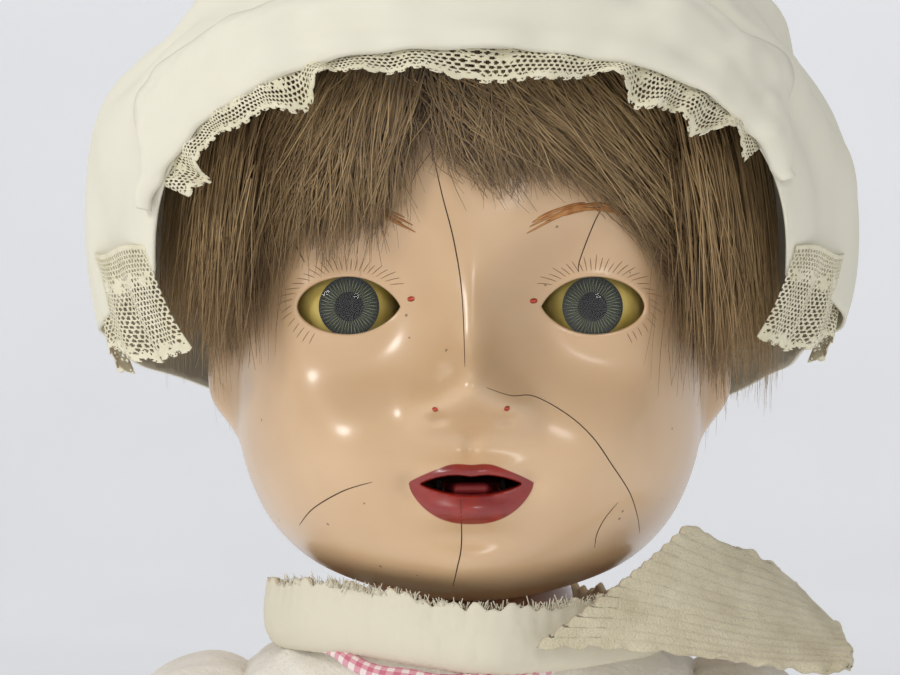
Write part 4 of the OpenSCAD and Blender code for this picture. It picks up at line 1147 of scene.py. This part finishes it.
@dataclass
class LawnBonnet:
    """The bonnet: crown, turned-back brim, lace frill and side lappets. Sizes in millimetres."""

    half_width: float = 83.0
    eye_z: float = 278.0
    arch_half: float = 67.0
    arch_z: float = 285.0
    arch_high: float = 46.0
    arch_round: float = 2.6

    def __post_init__(self) -> None:
        """Works out the bonnet's smooth form."""
        shares = [
            [-46, 0.74, 34, 60], [-30, 0.86, 42, 70], [-16, 0.93, 50, 75], [2, 0.975, 60, 78],
            [22, 1.0, 66, 80],
            [42, 0.965, 67, 79], [59, 0.84, 62, 74], [74, 0.64, 50, 62], [86, 0.38, 32, 42], [92, 0.02, 2, 2],
        ]
        self.form = RowForm([[self.eye_z + up, w * self.half_width, f, b] for up, w, f, b in shares], 2.15)

    def low_edge(self, y: np.ndarray) -> np.ndarray:
        """Returns the height of the lower edge at y."""
        return 286 + (y + 40) * (250 - 286) / 118

    def arch_share(self, x: np.ndarray, z: np.ndarray) -> np.ndarray:
        """Returns 1 on the edge of the face arch, less inside it and more outside."""
        high = np.maximum(z - self.arch_z, 0) / self.arch_high
        return ((np.abs(x) / self.arch_half) ** self.arch_round + high**self.arch_round) ** (1 / self.arch_round)

    def cloth(self, points: np.ndarray) -> np.ndarray:
        """Returns a measure that is negative in the face opening and below the lower edge."""
        x, y, z = points.T
        lower = z - self.low_edge(y) - 0.8 * np.sin(y / 5)
        arch = self.arch_share(x, z) - 1
        open_face = np.where(y < 10, arch * 50, 9.0)
        return np.minimum(lower, open_face)

    def folds(self, points: np.ndarray) -> np.ndarray:
        """Returns how far the cloth's soft folds stand out."""
        x, _, z = points.T
        arch = self.arch_share(x, z)
        bands = 1.7 * np.sin(arch * 21 + 2.2 * crumple(points, 60, 4)) * ease((arch - 1.02) * 5)
        drawn = 1.9 * crumple(points * np.array([1.0, 1.0, 0.3]), 13, 6) * ease((arch - 1.08) * 3)
        return bands + drawn + 1.5 * crumple(points, 44, 9)

    def place(self, u: np.ndarray, v: np.ndarray) -> np.ndarray:
        """Returns the crown's surface for u around and v up."""
        turn = math.pi * (2 * u - 1)
        table = self.form.table
        steps = np.concatenate([[0], np.cumsum(np.hypot(np.diff(table[:, 0]), np.diff(table[:, 1])))])
        z = np.interp(v * steps[-1], steps, table[:, 0])
        points = self.form.point(turn, z, 0.0)
        out = normal_like(points)
        return points + out * (self.folds(points) * ease((1 - v) * 8))[:, None]

    def crown(self) -> bpy.types.Object:
        """Builds the crown as one gathered sheet."""
        piece = shaped_grid("bonnet_cloth", 260, 150, self.place, self.cloth)
        finish_mesh(piece, 0.01)
        piece = thickened(piece, 0.7, 0)
        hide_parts("bonnet_crown")
        return piece

    def arch_point(self, along: np.ndarray, outward: np.ndarray, lift: np.ndarray) -> np.ndarray:
        """Returns points beside the face arch.

        Args:
            along: From -1 to 1, from the doll's right end of the arch to its left end.
            outward: Distance out from the arch edge.
            lift: Distance off the bonnet's form.
        """
        angle = along * math.pi / 2 * 1.04
        power = 2 / self.arch_round
        x = (self.arch_half + outward) * np.sign(angle) * np.abs(np.sin(angle)) ** power
        z = self.arch_z + (self.arch_high + outward) * np.sign(np.cos(angle)) * np.abs(np.cos(angle)) ** power
        y = self.form.front_y(x, z, 0.0)
        points = np.stack([x, y, z], axis=-1)
        return points + normal_like(points) * np.asarray(lift)[..., None]

    def brim(self) -> bpy.types.Object:
        """Builds the turned-back hem along the arch."""

        def place(u: np.ndarray, v: np.ndarray) -> np.ndarray:
            along = -0.84 + 1.6 * u
            width = 13.0 + 3.5 * np.sin(along * 2.6 + 0.9) + 1.2 * np.sin(along * 9)
            width = width * (0.12 + 0.88 * ease(np.minimum(u, 1 - u) * 6))
            outward = -1.2 + (width + 1.2) * v
            roll = 1.5 * np.sin(np.clip(v * 1.08, 0, 1) * math.pi) ** 0.5
            lift = 1.2 + 1.5 * roll + 0.45 * np.sin(along * 46 + 3 * np.sin(along * 7)) * (1 - v)
            points = self.arch_point(along, outward, lift)
            folds = self.folds(points) + 0.5 * crumple(points * np.array([0.35, 1.0, 1.0]), 6, 27)
            return points + normal_like(points) * folds[:, None]

        piece = thickened(shaped_grid("bonnet_brim_fold", 260, 22, place), 0.7, 0)
        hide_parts("bonnet_brim")
        return piece

    def lace(self) -> bpy.types.Object:
        """Builds the gathered lace frill with its net, sprigs and scalloped edge."""
        length = 172.0

        def place(u: np.ndarray, v: np.ndarray) -> np.ndarray:
            along = -0.77 + 1.42 * u
            s = u * length
            deep = 6.6 + 1.9 * np.sin(s / 7.3 + 1.0) + 1.2 * np.sin(s / 3.9) + 0.8 * np.sin(s / 17.0)
            outward = 1.2 - (deep + 1.2) * v
            ripple = 1.5 * np.sin(s / 2.3 + 1.5 * np.sin(s / 11)) * v + 0.7 * np.sin(s / 1.2) * (1 - v) * 0.5
            points = self.arch_point(along, outward, 0.6 + ripple + 1.8 * v)
            points[:, 2] += 0.9 * np.sin(s / 3.1) * v
            return points

        return self.net("bonnet_lace_frill", 760, 40, place, length, 9.0, 1.15, 15.0, ["bonnet_lace"])

    def net(
        self,
        name: str,
        columns: int,
        rows: int,
        place: Callable[[np.ndarray, np.ndarray], np.ndarray],
        length: float,
        depth: float,
        cell: float,
        sprig: float,
        nodes: list[str],
    ) -> bpy.types.Object:
        """Builds a strip of lace with true holes.

        Args:
            name: Name of the piece.
            columns: Faces along the strip.
            rows: Faces across it.
            place: Gives its points.
            length: Length of the strip.
            depth: Depth of the strip.
            cell: Pitch of the net.
            sprig: Pitch of the worked sprigs.
            nodes: The CAD nodes it stands for.
        """
        piece = shaped_grid(name, columns, rows, place)
        u, v = np.meshgrid((np.arange(columns) + 0.5) / columns, (np.arange(rows) + 0.5) / rows)
        s, t = (u * length).ravel(), (v * depth).ravel()
        row = np.floor(t / (cell * 0.866))
        in_x = (s / cell + 0.5 * (row % 2)) % 1 - 0.5
        in_y = (t / (cell * 0.866)) % 1 - 0.5
        hole = np.hypot(in_x, in_y * 0.9) < 0.36
        place_x = (s / sprig + 0.5 * (np.floor(t / (depth * 0.62)) % 2)) % 1 - 0.5
        from_x, from_y = place_x * sprig, (t % (depth * 0.62)) - depth * 0.31
        petal = np.arctan2(from_y, from_x)
        bloom = np.hypot(from_x, from_y) < 2.1 * (0.62 + 0.38 * np.cos(5 * petal))
        stem = np.abs(from_y - 1.1 * np.sin(from_x * 1.3)) < 0.3
        band = (t < 0.9) | (np.abs(t - (depth - 1.5 + 0.5 * np.abs(np.sin(s * math.pi / 3.0)))) < 0.42)
        solid = bloom | stem | band
        edge = depth - 0.95 + 0.95 * np.abs(np.sin(s * math.pi / 3.0)) ** 0.6
        dropped = (hole & ~solid) | (t > edge)
        work = bmesh.new()
        work.from_mesh(piece.data)
        work.faces.ensure_lookup_table()
        bmesh.ops.delete(work, geom=[work.faces[k] for k in np.flatnonzero(dropped)], context="FACES")
        work.to_mesh(piece.data)
        work.free()
        piece = thickened(piece, 0.22, 0)
        for node in nodes:
            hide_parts(node)
        return piece

    def lappet(self, side: int) -> bpy.types.Object:
        """Builds the dense lace that ends a side lappet.

        Args:
            side: 1 for the doll's left, -1 for its right.
        """
        length = 52.0

        def place(u: np.ndarray, v: np.ndarray) -> np.ndarray:
            y = -39 + 48 * u
            s = u * length
            top = 291.0 - 0.06 * (y + 39) + 0.6 * np.sin(s / 4)
            deep = 20.0 + 2.0 * np.sin(s / 6) + (2.5 if side < 0 else 0.0)
            z = top - deep * v
            form_z = np.maximum(z, 262)
            wide, front, _ = self.form.sizes(form_z)
            share = np.clip(-y / (front + 1.5), 0, 0.985)
            x = (wide + 0.6) * (1 - share**2.15) ** (1 / 2.15)
            x = x + (1.6 * np.sin(s / 2.6) + 0.9 * np.sin(s / 1.3 + 1)) * v - 1.5 * v
            return np.stack([side * x, y, z], axis=-1)

        name = "left_lappet_edging" if side > 0 else "right_lappet_edging"
        node = "left_lappet_lace" if side > 0 else "right_lappet_lace"
        return self.net(name, 230, 88, place, length, 22.0, 1.05, 6.0, [node])

    def build(self) -> None:
        """Builds and dresses the bonnet."""
        cloth, lace = LAWN.make(), LACE.make()
        crown = dress(self.crown(), cloth, "head")
        brim = dress(self.brim(), cloth, "head")
        frill = dress(self.lace(), lace, "head")
        left = dress(self.lappet(1), lace, "head")
        right = dress(self.lappet(-1), lace, "head")


# --- clothes and body -------------------------------------------------------------------------


@dataclass
class Clothes:
    """The scarf, check binding, flannel shirt, sleeves, cuffs, pants and booties. Sizes in millimetres."""

    def scarf(self) -> bpy.types.Object:
        """Builds the knitted scarf, folded below and frayed above."""
        profile = catmull(
            np.array(
                [[29, 210.5], [37, 208.2], [44, 206.2], [49, 205.6], [51.6, 208.4],
                 [52.4, 213.5], [51.6, 219.0]],
                float
            )
        )

        def place(u: np.ndarray, v: np.ndarray) -> np.ndarray:
            turn = math.pi * (2 * u - 1)
            index = v * (len(profile) - 1)
            reach = np.interp(index, np.arange(len(profile)), profile[:, 0])
            z = np.interp(index, np.arange(len(profile)), profile[:, 1])
            tilt = -1.6 - np.sin(turn) * 2.2 * np.exp(-((turn + 0.2) ** 2) / 1.4)
            sag = -2.2 * np.exp(-(((turn - 0.08) / 0.5) ** 2))
            lip = ease((v - 0.55) / 0.4)
            fray = (0.7 * np.sin(turn * 31 + 2 * np.sin(turn * 9)) + 0.5 * np.sin(turn * 77)) * lip
            back = ease((np.abs(turn) - 1.2) / 0.9)
            rim = lip * (1.0 * np.exp(-(((turn + 0.7) / 0.35) ** 2)) - 3.0 * back)
            reach = reach - 8 * back * v + 0.8 * np.sin(turn * 5 + 1) + 0.5 * np.sin(turn * 13) * v
            return np.stack(
                [0.86 * reach * np.sin(turn), -reach * np.cos(turn), z + tilt + sag + fray + rim], axis=-1
            )

        piece = shaped_grid("scarf_band", 420, 36, place)
        finish_mesh(piece, 0.01)
        piece = thickened(piece, 1.6, 0)
        points = coordinates(piece)
        around = np.arctan2(points[:, 0], -points[:, 1]) * 52
        knit = 0.16 * np.sin(around * 6.283 / 2.1) * np.sin(points[:, 2] * 6.283 / 1.7)
        move_to(piece, points + normals(piece) * knit[:, None])
        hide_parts("neck_scarf")
        return piece

    def scarf_tail(self) -> bpy.types.Object:
        """Builds the ribbed scarf end that fans over the left shoulder."""
        corners = np.array(
            [[[14, -55, 207], [34, -52, 219], [46, -38, 232]],
            [[48, -47, 204], [62, -36, 214], [64, -26, 224]],
             [[79, -34, 200.5], [85, -18, 204], [76, -4, 211]]], float
        )

        def place(u: np.ndarray, v: np.ndarray) -> np.ndarray:
            wu = np.stack([(1 - u) ** 2, 2 * u * (1 - u), u**2])
            wv = np.stack([(1 - v) ** 2, 2 * v * (1 - v), v**2])
            points = np.einsum("in,jn,ijk->nk", wu, wv, corners)
            rib = 1.0 * np.abs(np.sin(v * math.pi * 13 + 0.5 * np.sin(u * 3)))
            wave = 0.8 * np.sin(u * 6 + v * 4)
            points[:, 2] += rib + wave
            ends = ease((u - 0.93) / 0.07) + ease((0.04 - np.minimum(v, 1 - v)) / 0.04)
            loose = crumple(points, 5.5, 23)
            points[:, 0] += ends * 1.1 * loose
            points[:, 2] += ends * 0.8 * crumple(points, 4.0, 24)
            return points

        piece = thickened(shaped_grid("scarf_end", 130, 180, place), 1.3, 0)
        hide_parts("scarf_tail")
        return piece

    def fringe(self) -> bpy.types.Object:
        """Builds the loose threads along the scarf's frayed edges."""
        draw = np.random.default_rng(19)
        paths, widths, outs = [], [], []
        for _ in range(620):
            turn = draw.uniform(-1.15, 0.95)
            reach = 51.6 + draw.normal(0, 0.5)
            rim = 1.0 * math.exp(-(((turn + 0.7) / 0.35) ** 2))
            tilt = -1.6 - math.sin(turn) * 2.2 * math.exp(-((turn + 0.2) ** 2) / 1.4)
            sag = -2.2 * math.exp(-(((turn - 0.08) / 0.5) ** 2))
            start = np.array(
                [0.86 * reach * math.sin(turn), -reach * math.cos(turn), 218.2 + tilt + sag + rim]
            )
            out = np.array([math.sin(turn), -math.cos(turn), 0.0])
            drift = draw.normal(0, 0.5, 3) + out * draw.uniform(0, 0.8)
            rise = np.array([0, 0, draw.uniform(0.5, 1.9)])
            share = np.linspace(0, 1, 4)[:, None]
            curl = np.sin(share * draw.uniform(2, 5)) * draw.normal(0, 0.3, 3)
            paths.append(start + share * (rise + drift) + curl)
            widths.append(np.full(4, draw.uniform(0.16, 0.3)))
            outs.append(np.tile(out, (4, 1)))
        return ribbon_mesh("scarf_fray", paths, widths, outs, 0.5)

    def binding(self) -> bpy.types.Object:
        """Builds the pink check binding that edges the shirt's neck."""

        def place(u: np.ndarray, v: np.ndarray) -> np.ndarray:
            turn = math.pi * (2 * u - 1)
            front = np.exp(-(((turn + 0.12) / 0.85) ** 2))
            reach = 36.0 + 14.5 * front
            z = 208.5 - 9.2 * front + 5.5 * np.exp(-(((turn + 1.0) / 0.4) ** 2)) * front
            across = (v - 0.5) * 2
            bulge = 0.8 * np.sqrt(np.clip(1 - across**2, 0, 1))
            reach = reach + 1.9 * across * 0.8 + bulge * 0.5 + 0.25 * np.sin(turn * 30)
            z = z - 1.9 * across * 0.75 * front + bulge + 0.3 * np.sin(turn * 17)
            return np.stack([reach * np.sin(turn), -reach * np.cos(turn), z], axis=-1)

        piece = thickened(shaped_grid("neck_check_binding", 320, 10, place), 0.7, 0)
        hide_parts("neck_binding")
        return piece

    def shirt(self) -> bpy.types.Object:
        """Builds the flannel shirt with soft folds and a puffed front."""

        def folds(points: np.ndarray) -> np.ndarray:
            stretched = points * np.array([1.0, 1.0, 0.4])
            near_neck = ease((points[:, 2] - 188) / 14)
            return 0.8 * crumple(stretched, 24, 41) * (1 - 0.6 * near_neck) + 0.5 * crumple(points, 9, 42)

        return soft_copy("shirt", "flannel_shirt", 1.5, 8, folds)

    def sleeve(self, side: str) -> bpy.types.Object:
        """Builds one puffed sleeve.

        Args:
            side: left or right.
        """
        seed = 51 if side == "left" else 52

        def folds(points: np.ndarray) -> np.ndarray:
            return 0.75 * crumple(points * np.array([1.0, 0.6, 1.0]), 13, seed) + 0.3 * crumple(points, 6, seed + 7)

        return soft_copy(f"{side}_sleeve", f"{side}_flannel_sleeve", 1.3, 6, folds)

    def shoulder(self, side: str) -> bpy.types.Object:
        """Builds the gathered sleeve head, round about the shoulder's own axis, so it stays joined as the arm turns.

        Args:
            side: left or right.
        """
        way = 1 if side == "left" else -1
        profile = catmull(
            np.array(
                [[44.5, 14.0], [47.0, 18.4], [50.5, 21.8], [56.0, 23.4], [62.0, 22.6],
                 [68, 20.0], [73.5, 15.5]],
                float
            )
        )

        def place(u: np.ndarray, v: np.ndarray) -> np.ndarray:
            index = v * (len(profile) - 1)
            x = np.interp(index, np.arange(len(profile)), profile[:, 0])
            reach = np.interp(index, np.arange(len(profile)), profile[:, 1])
            turn = math.pi * 2 * u
            reach = reach + 0.45 * np.sin(turn * 26) * (1 - v) + 0.35 * np.sin(turn * 11 + 1)
            return np.stack([way * x, reach * np.sin(turn), 178 + reach * np.cos(turn)], axis=-1)

        piece = shaped_grid(f"{side}_sleeve_head", 220, 24, place)
        finish_mesh(piece, 0.01)
        return thickened(piece, 0.9, 0)

    def simple(
        self, node: str, name: str, voxel: float, pitch: float, deep: float, seed: int
    ) -> bpy.types.Object:
        """Builds a small soft piece from its CAD solid with folds of a pitch and depth.

        Args:
            node: The CAD node.
            name: Name of the piece.
            voxel: Size of the remesh.
            pitch: Distance between folds.
            deep: Depth of the folds.
            seed: Chooses the folds.
        """
        return soft_copy(node, name, voxel, 5, lambda points: deep * crumple(points, pitch, seed))

    def build(self) -> None:
        """Builds and dresses the clothes."""
        knit, rib, flannel = SCARF_KNIT.make(), SCARF_RIB.make(), FLANNEL.make()
        band = dress(self.scarf(), knit, "torso")
        tail = dress(self.scarf_tail(), rib, "torso")
        fray = dress(self.fringe(), knit, "torso")
        check = dress(self.binding(), check_finish(), "torso")
        body = dress(self.shirt(), flannel, "torso")
        pants = dress(
            self.simple("cloth_pants", "cotton_pants", 1.5, 15, 0.4, 61), PANTS.make(),
            "torso"
        )
        for side in ("left", "right"):
            sleeve = dress(self.sleeve(side), flannel, f"{side}_arm")
            puff = dress(self.shoulder(side), flannel, f"{side}_arm")
            cuff = self.simple(f"{side}_cuff", f"{side}_check_cuff", 0.7, 3.2, 0.35, 71)
            cuff = dress(cuff, CUFF.make(), f"{side}_arm")
            bootie = self.simple(f"{side}_bootie", f"{side}_knit_bootie", 0.9, 7, 0.45, 81)
            bootie = dress(bootie, BOOTIE.make(), f"{side}_leg")


@dataclass
class BodyShells:
    """The composition limbs, softened from the CAD shapes, and the finishes of the CAD pieces that stay."""

    relax: int = 10

    def limb(self, node: str) -> None:
        """Builds one moulded limb.

        Args:
            node: The CAD node.
        """
        body = node
        piece = soft_copy(node, f"{node}_moulded", 1.0, self.relax)
        dress(piece, COMPOSITION.make(), body)

    def build(self) -> None:
        """Builds the limbs and dresses every other CAD node."""
        for node in ("left_arm", "right_arm", "left_leg", "right_leg"):
            self.limb(node)
        finishes = {
            "crown_pate": BOARD, "wig_cap": CAP_CLOTH, "left_eye_bearing": GUM_PLASTER,
            "right_eye_bearing": GUM_PLASTER,
            "cork_stop": CORK, "upper_teeth": ENAMEL, "tongue_bracket": TIN, "tongue_pin": STEEL,
            "neck_plug": WOOD,
            "neck_hook": STEEL, "neck_washer": TIN, "neck_nut": STEEL, "left_eyelid": LID_WAX,
            "right_eyelid": LID_WAX,
            "eye_rocker": STEEL, "eye_weight": LEAD, "tongue": TONGUE, "torso_front": COMPOSITION,
            "torso_back": COMPOSITION, "neck_socket": WOOD, "arm_elastic": ELASTIC, "leg_elastic": ELASTIC,
            "shirt_buttons": BUTTON_CHINA, "left_arm_hook": STEEL, "right_arm_hook": STEEL,
            "left_leg_hook": STEEL,
            "right_leg_hook": STEEL,
        }
        for node, finish in finishes.items():
            dress_node(node, finish.make())


@dataclass
class GlassEyes:
    """The sleep eyes' glass. Sizes in millimetres."""

    eye_x: float = 25.75
    eye_y: float = -29.54
    eye_z: float = 278.0
    iris_r: float = 6.4

    def build(self) -> None:
        """Dresses the glass of both eyes."""
        for side, name in ((1, "left"), (-1, "right")):
            centre = (side * self.eye_x, self.eye_y, self.eye_z)
            dress_node(f"{name}_eye_globe", eye_white_finish(f"{name}_eye_white", centre))
            dress_node(f"{name}_iris", iris_finish(f"{name}_iris_glass", centre, self.iris_r))
            dress_node(f"{name}_pupil", pupil_finish())
            dress_node(f"{name}_cornea", clear_glass_finish())


# --- the setting ------------------------------------------------------------------------------


@dataclass
class Studio:
    """The floor, lights and camera. Sizes in metres."""

    face_z: float = 0.2715
    face_x: float = -0.0044
    face_y: float = -0.035
    distance: float = 0.9
    frame_wide: float = 0.1915
    sensor: float = 0.036

    def floor(self) -> None:
        """Builds a wide pale floor that curves up at its rim."""
        deselect()
        bpy.ops.mesh.primitive_circle_add(vertices=128, radius=3.0, fill_type="NGON")
        floor = bpy.context.object
        floor.name = "studio_floor"
        work = bmesh.new()
        work.from_mesh(floor.data)
        edges = [e for e in work.edges if e.is_boundary]
        for reach, rise in ((3.3, 0.05), (3.55, 0.2), (3.7, 0.45), (3.75, 0.8), (3.75, 1.2)):
            grown = bmesh.ops.extrude_edge_only(work, edges=edges)["geom"]
            edges = [g for g in grown if isinstance(g, bmesh.types.BMEdge)]
            for vert in (g for g in grown if isinstance(g, bmesh.types.BMVert)):
                scale = reach / math.hypot(vert.co.x, vert.co.y)
                vert.co.x, vert.co.y, vert.co.z = vert.co.x * scale, vert.co.y * scale, rise
        work.to_mesh(floor.data)
        work.free()
        smooth_shaded(floor)
        tree = Tree("studio_floor_paper")
        tree.join(
            tree.ramp(tree.noise(300, 2.0), [(0.3, (228, 228, 229)), (0.7, (233, 234, 235))]),
            tree.shader.inputs["Base Color"]
        )
        tree.set(Roughness=0.9, Emission_Color=linear((228, 229, 232)), Emission_Strength=0.38)
        floor.data.materials.append(tree.material)

    def lamp(
        self, name: str, place: tuple[float, float, float], size: float, power: float,
        colour: tuple[float, float, float]
    ) -> None:
        """Adds a round soft light aimed at the face.

        Args:
            name: Name of the light.
            place: Where it stands.
            size: Its width across.
            power: Its power in watts.
            colour: Its colour.
        """
        data = bpy.data.lights.new(name, "AREA")
        data.shape, data.size, data.energy, data.color = "DISK", size, power, colour
        lamp = bpy.data.objects.new(name, data)
        lamp.location = place
        aim = bpy.data.objects.new(f"{name}_aim", None)
        aim.location = (0, -0.03, 0.25)
        bpy.context.scene.collection.objects.link(lamp)
        bpy.context.scene.collection.objects.link(aim)
        track = (aim.location - lamp.location).to_track_quat("-Z", "Y")
        lamp.rotation_euler = track.to_euler()
        bpy.data.objects.remove(aim)

    def build(self) -> None:
        """Builds the setting."""
        self.floor()
        world = bpy.data.worlds.new("studio")
        world.use_nodes = True
        back = world.node_tree.nodes["Background"]
        back.inputs["Color"].default_value = linear((236, 237, 240))
        back.inputs["Strength"].default_value = 0.44
        bpy.context.scene.world = world
        self.lamp("window_left", (-1.15, -0.95, 1.0), 0.42, 8.8, (1.0, 0.98, 0.95))
        self.lamp("window_front", (0.35, -1.5, 0.85), 0.34, 2.9, (1.0, 0.98, 0.96))
        self.lamp("fill_top", (-0.2, 0.1, 1.6), 1.2, 4.6, (0.97, 0.98, 1.0))
        data = bpy.data.cameras.new("camera")
        data.sensor_width = self.sensor * PER_METRE
        data.lens = self.sensor * PER_METRE * self.distance / self.frame_wide
        data.clip_start, data.clip_end = 0.01, 30
        camera = bpy.data.objects.new("camera", data)
        camera.location = (self.face_x, self.face_y - self.distance, self.face_z)
        camera.rotation_euler = (math.pi / 2, 0, 0)
        bpy.context.scene.collection.objects.link(camera)
        bpy.context.scene.camera = camera
        bpy.context.scene.view_settings.view_transform = "Standard"


def main() -> None:
    """Builds every sub-assembly in order."""
    logging.basicConfig(level=logging.INFO, format="%(message)s", stream=sys.stdout)
    Studio().build()
    head = PorcelainHead()
    head.build()
    GlassEyes().build()
    MohairWig(head).build()
    bonnet = LawnBonnet()
    bonnet.build()
    clothes = Clothes()
    clothes.build()
    BodyShells().build()
    deselect()


if __name__ == "__main__":
    main()
